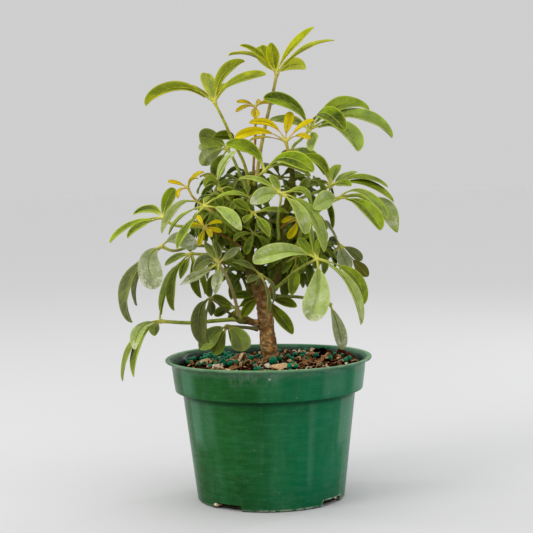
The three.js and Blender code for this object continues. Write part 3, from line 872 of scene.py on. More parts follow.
        tone = finish.wear(14.0, 0.5, 0.16, 2.2)
        # The base runs from darker olive green on the left to brighter emerald on the right:
        # painted side shading, laid over a random tone.
        warm = sheet.blend(tone, (0.006, 0.066, 0.007), (0.012, 0.102, 0.017))
        cool = sheet.blend(tone, (0.0, 0.095, 0.031), (0.0, 0.16, 0.066))
        finish.start(x.ease(-0.03, 0.04), warm, cool)
        finish.lay("Rubbed rings", (0.03, 0.19, 0.07), finish.wear(45.0, 0.42, 0.1, 0.12) * 0.3)
        streak = finish.wear(34.0, 0.34, 0.14, 7.0)
        finish.lay("Streaks", (0.09, 0.24, 0.13), streak * 0.2)
        # Paler columns of the wall: painted reflections.
        for column in self.painted_reflections:
            finish.lay("Painted reflection", (0.11, 0.27, 0.17), column.mask(turn, level))
        bloom = finish.wear(95.0, 0.42, 0.12, 0.5)
        finish.lay("Bloom", (0.16, 0.33, 0.2), bloom * height.ease(0.004, 0.05, 1.0, 0.25) * 0.12)

        gap = sheet.math("PINGPONG", turn - math.radians(self.first_notch), math.radians(45))
        notch = gap.ease(0.24, 0.225) * height.ease(0.0062, 0.0053) * x.ease(0.0, 0.03)
        foot = sheet.math("MAXIMUM", height.ease(0.0008, 0.0028, 1.0, 0.0), notch)
        foot = foot * x.ease(-0.022, 0.0, 0.3, 1.0) * finish.wear(170.0, 0.5, 0.07)
        finish.lay("Worn foot", (0.62, 0.62, 0.52), foot * 0.8)
        # A thin dark line at the very bottom edge: painted contact shadow.
        finish.lay("Painted contact shadow", (0.004, 0.008, 0.003), height.ease(0.0004, 0.0011, 0.9, 0.0))

        rim = radius.ease(0.0755, 0.077)
        lip = height.ease(0.1068, 0.1086) * rim
        # The inner wall above the mix is darkened: painted shade.
        wall = sheet.math("MULTIPLY_ADD", height, 0.1227, 0.06147)
        inside = (radius - wall).ease(0.0003, -0.0003)
        inside = inside * height.ease(0.09, 0.1) * height.ease(0.1093, 0.107)
        finish.lay("Painted shade inside", (0.001, 0.018, 0.009), inside * 0.9)
        finish.lay("Lip", (0.01, 0.1, 0.035), lip * 0.75)
        finish.lay("Worn lip", (0.36, 0.42, 0.3), lip * finish.wear(70.0, 0.55, 0.2) * 0.25)
        # A thin pale line along the top of the lip: painted highlight.
        finish.lay("Painted highlight on the lip", (0.15, 0.36, 0.11), rim * height.ease(0.1091, 0.1098) * 0.8)
        band = height.ease(0.1075, 0.101, 1.0, 0.0) * height.ease(0.096, 0.104)
        finish.lay("Salt", (0.3, 0.42, 0.32), band * finish.wear(55.0, 0.55, 0.14, 0.4) * 0.3)
        drips = finish.wear(150.0, 0.42, 0.12, 2.4) * self.dripped.mask(turn, level)
        finish.lay("Drips", (0.32, 0.45, 0.34), drips)
        finish.lay("Specks", (0.42, 0.5, 0.4), finish.wear(420.0, 0.16, 0.03) * 0.6)
        # The wall darkens towards the bottom: painted shade.
        finish.lay("Painted shade low on the wall", (0.0, 0.02, 0.004), height.ease(0.035, 0.0, 0.0, 0.25))
        # The wall just under the band's ledge is darkened: painted shadow.
        band_shadow = height.ease(0.0795, 0.0835, 0.0, 0.6) * height.ease(0.0858, 0.0848)
        finish.lay("Painted shadow under the band", (0.0, 0.02, 0.008), band_shadow)
        away = sheet.vector_math("DISTANCE", "Value", spot, self.nick)
        finish.lay("Nick", (0.5, 0.56, 0.44), away.ease(0.0013, 0.0006, 0.0, 0.65))

        finish.wire("Roughness", streak * 0.12 + bloom * 0.08 + 0.17 + foot * 0.35)
        return finish.done(finish.grain(900.0, 3.0) * 0.05 + finish.grain(22.0, 1.0), 0.35, 0.5)


# ---- Potting mix ----
@dataclass
class PottingMix:
    """The damp bark mix with its chips, shavings, crumbs and fertiliser prills."""

    pot: Pot
    level: float = 103.5
    tilt_x: float = 0.022
    tilt_y: float = 0.014
    bump: float = 1.1
    mound: Place = (2, 12, 2.2)
    mound_spread: float = 260
    lump_size: float = 7.0
    lump_height: float = 1.25
    bed_rings: int = 46
    bed_segments: int = 120
    crease: float = 50.0
    wall_gap: float = 0.6
    crumb_count: int = 2300
    chip_count: int = 380
    shaving_count: int = 260
    fibre_count: int = 300
    prill_radius: float = 2.05
    seed: int = 41
    # Seen place x and z and size of each prill.
    seen_prills: tuple[Row, ...] = (
        (-58, 108.5, 1.1), (-47, 111, 0.9), (-40, 106.5, 1), (-36, 108.5, 1), (-33, 107, 1),
        (-24.5, 108.5, 1.1), (-45, 102, 0.9), (-43, 109.5, 1), (-50.5, 110.5, 0.9), (-29, 106, 0.9),
        (-38, 110.5, 0.9), (-7.5, 108.5, 1.1), (-5, 107, 1.15), (3.5, 104.6, 1.6), (-7, 100, 0.9),
        (10.5, 108.5, 0.9), (11, 103, 0.8), (20.5, 109.3, 1.1), (32, 115, 1), (37, 108.5, 1.2),
        (48, 106.5, 1), (51.5, 109.5, 0.9), (60, 104.5, 1.1), (63, 105, 1), (-41, 103.5, 0.9),
        (-35, 104, 0.8), (-30, 109.5, 1), (-66, 107, 1.1), (-62, 105.5, 0.9), (-54, 110, 1.1),
        (-52, 108, 0.9), (-50, 104.5, 1), (-47, 108, 1.1), (-33, 110, 1), (-30, 103.5, 1.1),
        (-26, 107, 1), (-22, 110.5, 1), (-19, 104, 0.9), (-16, 109, 1.1), (-12, 102.5, 1),
        (-56, 111, 1), (-53, 112, 1), (-49, 113, 1), (-46, 112.5, 1.1), (-43, 112, 1),
        (-40, 112.5, 1), (-37, 112, 1), (-34, 111.5, 1), (-31, 112, 0.9), (-48, 106, 1),
        (-44, 107, 1), (-41, 108.5, 1.1), (-37, 106, 0.9), (-34, 105.5, 1), (-31, 108, 1),
        (-28, 110, 1), (-25, 105, 1), (-58, 110, 1))
    amber_prill: Place = (-60, 105.6, 0.9)
    hidden_prills: int = 34
    # Seen place x and z, length, width, turn in degrees and tint of each larger scrap.
    seen_chips: tuple[Row, ...] = (
        (-48, 105.5, 13, 9, 8, 0.86), (-39, 101.8, 14, 8, -6, 0.93), (-20, 108, 15, 4.5, 50, 0.55),
        (10, 100.8, 22, 6, 6, 0.84), (-1, 102.4, 6.5, 6, 0, 1.0), (17, 105, 6, 4, 30, 0.78),
        (-33, 104.5, 10, 3, 40, 0.62), (-60, 104.8, 6, 4, 10, 0.8), (23, 107.5, 6, 4, -20, 0.76),
        (30, 104.5, 9, 5, -24, 0.6), (48, 103.3, 8, 3, 60, 0.7), (38, 104.2, 7, 3, 75, 0.72),
        (56, 105.5, 8, 4, -12, 0.45), (-12, 105.5, 9, 4, 25, 0.5), (33, 111, 9, 4, 10, 0.7),
        (27, 112.5, 7, 3, -40, 0.74), (66, 106, 8, 3, 80, 0.6), (-27, 101.6, 9, 5, 10, 0.66),
        (2, 106, 5, 3.4, 10, 0.52), (20, 102.2, 9, 4, 0, 0.7))
    # Seen place x and z, length, height of the curl and turn in degrees of each long shaving.
    seen_shavings: tuple[Row, ...] = (
        (-31.5, 105, 15, 3.6, 25), (-24, 106.5, 17, 5.5, 58), (-19.5, 107.5, 16, 6.5, 66),
        (-16, 103, 10, 5.2, -15), (-11, 102.6, 9, 4.6, 12), (-20, 102.5, 9, 4.2, 70),
        (-9, 105, 8, 3.5, -40), (30, 106.5, 9, 4, 20), (41, 105.5, 9, 4.4, 75), (46, 108, 8, 4, 50),
        (26, 103.2, 9, 2.6, -12), (54, 107.5, 8, 3.6, -60), (-37, 104.5, 9, 3, -20),
        (34, 113.2, 8, 3.4, 60), (62, 107, 7, 3, 40))
    # Seen place x and z, size, tint and redness of each big lump.
    seen_lumps: tuple[Row, ...] = (
        (57, 111.5, 9, 0.28, 1), (62.5, 109, 7, 0.34, 1), (44, 113.5, 8, 0.1, 0),
        (49, 112, 6, 0.2, 1), (38, 113, 6, 0.14, 0), (53, 113.5, 6, 0.08, 0), (66, 108, 5, 0.3, 1),
        (-57, 112, 7, 0.1, 0), (-63, 110, 6, 0.2, 0), (-1, 102.4, 6, 1.0, 0),
        (-42, 101.8, 6, 0.95, 0), (21, 108.5, 5, 0.2, 0))
    # Place x, y and z, size and tint of each crumb caught in a drain notch.
    caught: tuple[Row, ...] = (
        (-41.5, -38.5, 2.9, 4.6, 0.93), (-38.5, -41.5, 3.6, 2.4, 0.6), (46, -33.5, 4.0, 3, 0.08),
        (48.5, -30, 4.3, 2.6, 0.97), (50.5, -26, 4.2, 2.6, 0.12))

    def height_at(self, x: float, y: float) -> float:
        """Give the height of the mix's surface at a place, in millimetres."""
        tilt = self.tilt_x * x + self.tilt_y * y
        waves = (math.sin(x * 0.21 + 1.3) * math.cos(y * 0.17)
                 + 0.6 * math.sin(x * 0.09 - y * 0.13))
        middle_x, middle_y, rise = self.mound
        away = (x - middle_x) ** 2 + (y - middle_y) ** 2
        mound = rise * math.exp(-away / self.mound_spread)
        return self.level + tilt + self.bump * waves + mound

    def fine_height(self, x: float, y: float) -> float:
        """Give the surface's height with its lumps, in millimetres."""
        lumps = noise.fractal(Vector((x, y, 3.1)) / self.lump_size, 0.7, 2.1, 3)
        return self.height_at(x, y) - 0.7 + self.lump_height * lumps

    def inner_radius(self) -> float:
        """Give the radius of the pot's inside at the mix's surface."""
        return self.pot.band_top_radius - self.pot.wall - 1.3

    def surface_place(self, x: float, z: float) -> tuple[float, float]:
        """Find where the mix's surface is seen at (x, z) on the plane of the pot's axis.

        Args:
            x: Seen place to the right, in millimetres.
            z: Seen height, in millimetres.

        Returns:
            The x and y of the place on the surface, kept inside the pot.
        """
        y = 0.0
        for _ in range(12):
            spread = 1 + y / EYE_DISTANCE
            drop = EYE_HEIGHT - self.height_at(x * spread, y)
            y = 0.5 * y + 0.5 * EYE_DISTANCE * (drop / (EYE_HEIGHT - z) - 1)
        x *= 1 + y / EYE_DISTANCE
        limit = self.inner_radius() - 3.5
        share = min(1.0, limit / max(math.hypot(x, y), 1e-6))
        return x * share, y * share

    def build(self) -> None:
        """Model the mix and everything that lies in it."""
        draw = random.Random(self.seed)
        bed = self.bed()
        scraps = [
            repeat(self.stone("crumb", 1, 0.13, 5), "mix_crumbs", self.crumbs(draw)),
            repeat(self.flake(), "mix_chips", self.chips(draw)),
            repeat(self.ribbon(), "mix_shavings", self.shavings(draw)),
            repeat(self.stone("fibre", 1, 0.05, 9), "mix_fibres", self.fibres(draw))]
        dress(bed, self.bed_finish())
        seat(bed, "bark_mix", "potting_mix")
        bark = self.bark_finish()
        for scrap in scraps:
            dress(scrap, bark)
            seat(scrap, "bark_mix")
        prills = repeat(self.stone("prill", 2, 0.02, 3), "mix_prills", self.prills(draw))
        smooth(prills)
        dress(prills, self.prill_finish())
        seat(prills, "bark_mix")

    def bed(self) -> Item:
        """Model the body of the mix, which fills the pot up to its lumpy surface."""
        pot = self.pot
        fit = pot.wall + self.wall_gap
        inner = self.inner_radius() - self.wall_gap
        rings = [(pot.base_radius - fit, pot.floor + 0.4),
                 (pot.body_top_radius - fit, pot.band_bottom - 3),
                 (pot.band_bottom_radius - fit - 0.6, pot.band_bottom + 5),
                 (inner, self.level - 4)]
        rings += [(inner * share, self.level) for share in np.linspace(0.995, 0.02, self.bed_rings)]
        bed = turned(rings, self.bed_segments, "mix_bed")
        points = coordinates(bed.data) / MM
        for point in points:
            if point[2] > self.level - 0.01:
                point[2] = self.fine_height(point[0], point[1])
        set_coordinates(bed.data, points * MM)
        smooth(bed, self.crease)
        return bed

    def spot(self, draw: random.Random, reach: float = 1.0) -> tuple[float, float]:
        """Draw an even random place on the surface."""
        radius = (self.inner_radius() - 3) * reach * math.sqrt(draw.random())
        angle = draw.uniform(0, 2 * math.pi)
        return radius * math.cos(angle), radius * math.sin(angle)

    def lying(self, x: float, y: float, lift: float, size: Sequence[float], turn: float,
              tilt: tuple[float, float]) -> Matrix:
        """Set a scrap down on the surface.

        Args:
            x: Place to the right, in millimetres.
            y: Place away from the front, in millimetres.
            lift: How far its centre is above the surface.
            size: Its length, width and thickness.
            turn: Its turn about the upright, in radians.
            tilt: Its tilts about its length and its width, in radians.

        Returns:
            The matrix in millimetres, for a template in metres one millimetre across.
        """
        height = self.fine_height(x, y) + lift
        spin = Matrix.Rotation(turn, 4, "Z") @ Matrix.Rotation(tilt[1], 4, "Y")
        spin = spin @ Matrix.Rotation(tilt[0], 4, "X")
        scale = Matrix.Diagonal((*[part / MM for part in size], 1))
        return Matrix.Translation((x, y, height)) @ spin @ scale

    @staticmethod
    def stone(name: str, subdivisions: int, rough: float, seed: int) -> Item:
        """Model one lumpy grain, one millimetre across.

        Args:
            name: The template's name.
            subdivisions: The subdivisions of the ball that it starts from.
            rough: How far its surface wanders, as a share of its size.
            seed: The seed of its shape.

        Returns:
            The template object.
        """
        grain = start_with(bpy.ops.mesh.primitive_ico_sphere_add, subdivisions=subdivisions,
                           radius=0.5 * MM)
        grain.name = name
        with editing():
            bpy.ops.transform.vertex_random(offset=rough * MM, uniform=1.0, seed=seed)
        return grain

    @staticmethod
    def flake() -> Item:
        """Model one split chip of bark, one millimetre in each direction."""
        chip = start_with(bpy.ops.mesh.primitive_cube_add, size=MM)
        with editing():
            bpy.ops.mesh.subdivide(number_cuts=2)
            bpy.ops.transform.vertex_random(offset=0.16 * MM, uniform=0.8, seed=12)
        for vertex in chip.data.vertices:
            outward = abs(vertex.co.x) / (0.5 * MM)
            vertex.co.y *= max(1 - 0.75 * outward ** 2, 0.2)
            vertex.co.z *= 1 - 0.3 * outward ** 3
        return chip

    @staticmethod
    def ribbon() -> Item:
        """Model one curled shaving, one millimetre long, arched over its length."""
        ribbon = start_with(bpy.ops.mesh.primitive_grid_add, x_subdivisions=9, y_subdivisions=2,
                            size=MM)
        for vertex in ribbon.data.vertices:
            along = vertex.co.x / MM
            vertex.co.z = (0.25 - along * along) * 4 * MM * (1 + 0.12 * math.sin(9 * along))
            vertex.co.y *= 1 - 1.3 * along * along
        apply_modifier(ribbon, "SOLIDIFY", thickness=0.12 * MM, offset=0)
        return ribbon

    def crumbs(self, draw: random.Random) -> Copies:
        """Strew the small crumbs, after the lumps that are seen and those in the notches."""
        copies: Copies = []
        for x, z, across, tint, red in self.seen_lumps:
            size = (across, 0.8 * across, 0.7 * across)
            matrix = self.lying(*self.surface_place(x, z), 0.2 * across, size, x, (0.2, 0.1))
            copies.append((matrix, (tint, red, 0, 1)))
        for x, y, z, across, tint in self.caught:
            size = Matrix.Diagonal((across / MM, 0.7 * across / MM, 0.6 * across / MM, 1))
            copies.append((Matrix.Translation((x, y, z)) @ size, (tint, 0, 0, 1)))
        for _ in range(self.crumb_count):
            x, y = self.spot(draw)
            size = [draw.uniform(0.9, 2.6) for _ in range(3)]
            tint = draw.random() ** 4.5 * 0.97
            matrix = self.lying(x, y, draw.uniform(-0.2, 0.6), size, draw.uniform(0, FULL_TURN),
                                (draw.uniform(-1, 1), draw.uniform(-1, 1)))
            copies.append((matrix, (tint, draw.random(), 0, 1)))
        return copies

    def chips(self, draw: random.Random) -> Copies:
        """Strew the bark chips, with the larger ones where they are seen."""
        copies: Copies = []
        for x, z, length, width, turn, tint in self.seen_chips:
            size = (0.8 * length, width * 1.5, min(2.4, 0.3 * width))
            matrix = self.lying(*self.surface_place(x, z), 0.9, size, math.radians(turn),
                                (0.3, draw.uniform(-0.15, 0.15)))
            copies.append((matrix, (tint, draw.random(), 0.6, 1)))
        for _ in range(self.chip_count):
            x, y = self.spot(draw, 0.97)
            length = draw.uniform(2.4, 8.0)
            tint = 0.02 + 0.96 * draw.random() ** 3.0
            size = (length, length * draw.uniform(0.13, 0.4), draw.uniform(0.6, 1.4))
            matrix = self.lying(x, y, draw.uniform(0.1, 0.9), size, draw.uniform(0, FULL_TURN),
                                (draw.uniform(-0.5, 0.5), draw.uniform(-0.45, 0.45)))
            copies.append((matrix, (tint, draw.random(), 0.3, 1)))
        return copies

    def shavings(self, draw: random.Random) -> Copies:
        """Lay the curled shavings, some where they are seen and the rest by chance."""
        copies: Copies = []
        for x, z, length, curl, turn in self.seen_shavings:
            matrix = self.lying(*self.surface_place(x, z), -0.3, (length, 2.6, curl),
                                math.radians(turn),
                                (draw.uniform(-0.4, 0.4), draw.uniform(-0.2, 0.2)))
            copies.append((matrix, (draw.uniform(0.6, 0.92), draw.random(), 1, 1)))
        for _ in range(self.shaving_count):
            x, y = self.spot(draw, 0.94)
            size = (draw.uniform(3, 8.5), draw.uniform(0.7, 1.6), draw.uniform(0.9, 3.0))
            matrix = self.lying(x, y, -0.3, size, draw.uniform(0, FULL_TURN),
                                (draw.uniform(-0.6, 0.6), draw.uniform(-0.3, 0.3)))
            copies.append((matrix, (draw.uniform(0.4, 1.0), draw.random(), 1, 1)))
        return copies

    def fibres(self, draw: random.Random) -> Copies:
        """Strew thin fibres and root ends."""
        copies: Copies = []
        for _ in range(self.fibre_count):
            x, y = self.spot(draw, 0.97)
            size = (draw.uniform(4, 11), draw.uniform(0.35, 0.7), draw.uniform(0.35, 0.7))
            matrix = self.lying(x, y, draw.uniform(0.4, 1.3), size, draw.uniform(0, FULL_TURN),
                                (0, draw.uniform(-0.35, 0.35)))
            copies.append((matrix, (draw.uniform(0.1, 0.75), draw.random(), 0.2, 1)))
        return copies

    def prills(self, draw: random.Random) -> Copies:
        """Set the round fertiliser prills, first those that are seen."""
        copies: Copies = []
        spots = [(*self.surface_place(x, z), size, 0.85 * draw.random())
                 for x, z, size in self.seen_prills]
        spots += [(*self.spot(draw, 0.93), draw.uniform(0.8, 1.15), draw.random())
                  for _ in range(self.hidden_prills)]
        spots.append((*self.surface_place(*self.amber_prill[:2]), self.amber_prill[2], 1.0))
        for x, y, share, amber in spots:
            across = 2 * self.prill_radius * share
            size = [across * draw.uniform(0.92, 1.08) for _ in range(3)]
            matrix = self.lying(x, y, 0.45 * across, size, draw.uniform(0, FULL_TURN), (0.2, 0.1))
            copies.append((matrix, (amber, draw.random(), 0, 1)))
        return copies

    @staticmethod
    def bed_finish() -> Material:
        """Make the dark damp body of the mix."""
        finish = Finish("Damp mix", Roughness=0.92, Specular_IOR_Level=0.0)
        fine = finish.grain(520.0, 6.0)
        finish.start(fine.ease(0.35, 0.7), (0.001, 0.0005, 0.0004), (0.014, 0.006, 0.003))
        finish.lay("Brown flecks", (0.12, 0.06, 0.03), finish.wear(300.0, 0.42, 0.06) * 0.5)
        return finish.done(fine, 1.2)

    @staticmethod
    def bark_finish() -> Material:
        """Make the bark of crumbs, chips and shavings, from nearly black to pale tan."""
        finish = Finish("Mix bark", Roughness=0.86, Specular_IOR_Level=0.0)
        sheet = finish.sheet
        tint, red, *_ = sheet.look()
        tone = sheet.ramp(tint, ((0.0, (0.0015, 0.0006, 0.0004)), (0.25, (0.01, 0.0035, 0.002)),
                                 (0.5, (0.12, 0.042, 0.015)), (0.72, (0.56, 0.29, 0.12)),
                                 (0.88, (0.9, 0.62, 0.34)), (1.0, (1.0, 0.92, 0.78))))
        fine = finish.grain(850.0, 5.0)
        finish.base = sheet.blend(1.0, tone, fine.ease(0.3, 0.72, 0.45, 1.25), "MULTIPLY")
        finish.lay("Red bark", (0.2, 0.045, 0.02), red.ease(0.6, 0.95) * 0.3)
        return finish.done(fine, 0.6)

    @staticmethod
    def prill_finish() -> Material:
        """Make the teal and, here and there, amber coats of the prills."""
        finish = Finish("Prill coat", Roughness=0.22, Specular_IOR_Level=0.14)
        amber, tone, *_ = finish.sheet.look()
        finish.start(tone, (0.0, 0.105, 0.044), (0.0, 0.28, 0.125))
        finish.lay("Amber coat", (0.55, 0.27, 0.03), amber.ease(0.9, 0.92))
        finish.lay("Dirt", (0.004, 0.03, 0.015), finish.wear(420.0, 0.42, 0.06) * 0.3)
        return finish.done(finish.grain(1500.0, 2.0), 0.15)


# ---- Trunk ----
@dataclass(frozen=True)
class Stem:
    """One woody stem: its places [x, z, y] from the foot and its radii spread along it."""

    places: tuple[Row, ...]
    radii: tuple[float, ...]

    def line(self, step: float) -> Line:
        """Give the points and radii along the stem, about one step apart."""
        path = Path.through([place(*spot) for spot in self.places])
        shares = np.linspace(0, 1, max(12, int(path.length / step)))
        even = np.linspace(0, 1, len(self.radii))
        return path.at(shares), np.interp(shares, even, self.radii)


@dataclass
class Trunk:
    """The woody trunk with its low branch stub and its right branch."""

    stems: tuple[Stem, ...] = (
        Stem(((4, 82, 12), (2.5, 106, 12), (0, 122, 12), (-1.5, 138, 12), (-3, 153, 12),
              (-8, 166, 12), (-14, 187, 12), (-14, 200, 12), (-15, 213, 12), (-12.5, 230, 12),
              (-8, 247, 12)),
             (4, 6.8, 6.4, 6.2, 6.4, 5.8, 5.4, 5.2, 5, 4.4, 3)),
        Stem(((-3, 136.5, 12), (-11, 136.5, 8), (-21.5, 139.5, 0)), (2.8, 2.5, 2.9)),
        Stem(((-1, 154, 12), (7, 167, 9), (10, 185, 3), (10.3, 199, 0), (11.5, 212, -2),
              (17, 228, -4), (21.5, 240, -6), (21, 254, -8), (20, 262, -9)),
             (3.4, 3.2, 3, 2.7, 2.4, 2.1, 1.9)),
    )
    branch_node_radius: float = 3.6
    line_step: float = 0.9
    plate_size: float = 3.4
    crack_spacing: float = 2.2
    crack_width: float = 0.16
    old_below: float = 150
    young_above: float = 200
    scar_spread: float = 75
    scar_height: float = 0.75
    # Seen height, turn and size of each leaf scar on the trunk.
    scars: tuple[Row, ...] = (
        (111, 40, 1.0), (118, 200, 0.9), (126, 300, 1.0), (131, 150, 1.2), (137, 250, 1.3),
        (143, 20, 1.0), (149, 280, 1.1), (156, 190, 1.0), (161, 320, 1.0), (168, 240, 0.9),
        (177, 330, 0.9), (186, 210, 0.9), (196, 300, 0.8), (205, 240, 0.8), (214, 330, 0.8),
        (224, 200, 0.7))

    def build(self) -> None:
        """Model and dress the trunk."""
        lines = [stem.line(self.line_step) for stem in self.stems]
        solid = tubes("trunk_wood", lines, roundness=7)
        node = start_with(bpy.ops.mesh.primitive_ico_sphere_add, subdivisions=3,
                          radius=self.branch_node_radius * MM)
        node.data.transform(Matrix.Translation(place(*self.stems[1].places[-1]) * MM))
        self.roughen(solid, lines)
        trunk = join([solid, node], "trunk_wood")
        smooth(trunk)
        dress(trunk, self.bark())
        seat(trunk, "bark", "trunk")

    def roughen(self, solid: Item, lines: Sequence[Line]) -> None:
        """Raise bark plates, cracks and leaf scars on the wood.

        Args:
            solid: The wood.
            lines: The points and radii along the middle of each stem.
        """
        centres = np.vstack([points for points, _ in lines])
        points = coordinates(solid.data) / MM
        for index, point in enumerate(points):
            nearest = centres[np.argmin(((centres - point) ** 2).sum(axis=1))]
            away = point - nearest
            away /= max(np.linalg.norm(away), 1e-6)
            low = 1 - smooth_step(point[2], self.old_below, self.young_above)
            x, y, z = point
            plate = noise.fractal(Vector((x, y, z * 0.55)) / self.plate_size, 0.8, 2.0, 3)
            crack = abs(noise.noise(Vector((x, y, z * 0.4)) / self.crack_spacing))
            depth = max(0.0, self.crack_width - crack) / self.crack_width
            lift = (0.12 + 0.5 * low) * plate - 0.5 * low * depth
            angle = math.degrees(math.atan2(away[1], away[0])) % 360
            for height, turn, size in self.scars:
                gap = abs((angle - turn + 180) % 360 - 180) / self.scar_spread
                ridge = math.exp(-((z - height) / (1.1 * size)) ** 2) * max(0, 1 - gap ** 2)
                lift += self.scar_height * size * ridge
            points[index] = point + away * lift
        set_coordinates(solid.data, points * MM)

    @staticmethod
    def bark() -> Material:
        """Make the brown bark, greener on the younger wood, with painted shade under the crown and
        on the right side.
        """
        finish = Finish("Trunk bark", Roughness=0.82, Specular_IOR_Level=0.15)
        sheet = finish.sheet
        x, _, height = sheet.axes(sheet.spot())
        fine = finish.grain(620.0, 6.0)
        broad = finish.wear(90.0, 0.55, 0.14, 1.6)
        dark = finish.wear(240.0, 0.42, 0.08, 0.6)
        finish.start(broad, (0.34, 0.11, 0.022), (0.88, 0.4, 0.11))
        finish.lay("Pale flakes", (1.0, 0.68, 0.3), finish.wear(190.0, 0.5, 0.06, 0.7) * 0.75)
        finish.lay("Dark cracks", (0.06, 0.018, 0.005), dark * 0.62)
        finish.lay("Shade of the crown", (0.12, 0.045, 0.012), height.ease(0.13, 0.15, 0.0, 0.5))
        side = x.ease(0.0015, 0.006)
        band = height.ease(0.122, 0.132) * height.ease(0.16, 0.148)
        finish.lay("Moss", (0.14, 0.2, 0.012), side * band * 0.5)
        # The right side of the trunk is darkened: painted shade.
        finish.lay("Painted shade on the right side", (0.06, 0.035, 0.01), side * 0.35)
        young = sheet.math("MAXIMUM", height.ease(0.15, 0.18), x.ease(-0.009, -0.015) * 0.7)
        green = sheet.blend(fine, (0.04, 0.045, 0.002), (0.17, 0.18, 0.008))
        finish.lay("Green young wood", green, young * 0.9)
        node = x.ease(-0.017, -0.021) * height.ease(0.152, 0.146)
        finish.lay("Green branch node", (0.33, 0.4, 0.06), node * 0.8)
        return finish.done(fine + broad - dark, 1.1)


# ---- Leaves ----
@dataclass(frozen=True)
class Ring:
    """A ring of leaflets round the axis of a leaf on the far side."""

    count: int
    length: float
    turn: float


@dataclass(frozen=True)
class Green:
    """The colours and gloss of a leaf at one age."""

    deep: Colour
    bright: Colour
    margin: Colour
    rib: Colour
    under: Colour
    dust: Colour = (0.5, 0.62, 0.22)
    stalk: Tones | None = None
    margin_width: float = 0.3
    roughness: float = 0.46

    def stalk_tones(self) -> Tones:
        """Give the stalk's deep and bright tone, mixed from the leaflets' if it has none."""
        bright = tuple(0.55 * (first + second) for first, second in zip(self.bright, self.rib))
        return self.stalk or (scaled(bright, 0.5), bright)


class Age(Enum):
    """How old a compound leaf is, which sets its finish and its shape."""

    FRESH = "fresh"
    MATURE = "mature"
    OLD = "old"
    GOLDEN = "golden"


GREENS: dict[Age, Green] = {
    Age.FRESH: Green((0.07, 0.12, 0.0), (0.42, 0.47, 0.004), (0.62, 0.54, 0.004),
                     (0.55, 0.55, 0.03), (0.3, 0.38, 0.02), margin_width=0.26),
    Age.MATURE: Green((0.012, 0.042, 0.0), (0.23, 0.36, 0.0), (0.58, 0.6, 0.07),
                      (0.44, 0.52, 0.07), (0.25, 0.33, 0.012)),
    Age.OLD: Green((0.014, 0.038, 0.001), (0.17, 0.24, 0.01), (0.46, 0.42, 0.14),
                   (0.4, 0.44, 0.1), (0.18, 0.23, 0.04), dust=(0.38, 0.44, 0.25)),
    Age.GOLDEN: Green((0.5, 0.42, 0.0), (0.82, 0.74, 0.002), (0.58, 0.32, 0.002),
                      (0.64, 0.42, 0.008), (0.6, 0.5, 0.004), roughness=0.4,
                      stalk=((0.2, 0.06, 0.006), (0.62, 0.36, 0.03))),
}


@dataclass(frozen=True)
class Leaf:
    """One compound leaf.

    Leaflet rows hold the middle's x and z, the tip's x and z, how far the tip lies behind the hub,
    the width that shows from the front and, where they differ from the leaf's, its dust, how far
    it has withered, its point, the share of it that is bare stalk and its light. The light is
    painted
    light and shade: it makes the colour brighter or darker as if the leaf were lit more or less.
    """

    stalk: tuple[Row, ...]
    hub: Row
    leaflets: tuple[Row, ...] = ()
    ring: Ring | None = None
    axis: Row = (0, 0, 1)
    radius: float = 1.25
    age: Age = Age.MATURE
    dust: float = 0.06
    light: float = 0.5
    point: float = 0.2
    foot: float = 0.17
    withered: float = 0.05
    woody: float = 0.1

    def traits(self) -> Row:
        """List its leaflets' usual dust, withering, point, bare foot and light."""
        return self.dust, self.withered, self.point, self.foot, self.light


@dataclass(frozen=True)
class Leaflet:
    """One leaflet: its path, the direction of its width, its width and its state."""

    bend: Path
    side: Vector
    width: float
    dust: float
    withered: float
    point: float
    foot: float
    light: float


def ringed(stalk: tuple[Row, ...], hub: Row, ring: Row, axis: Row, light: float) -> Leaf:
    """Describe a leaf whose leaflets stand in a ring of this count, length and turn."""
    return Leaf(stalk, hub, ring=Ring(*ring), axis=axis, light=light)


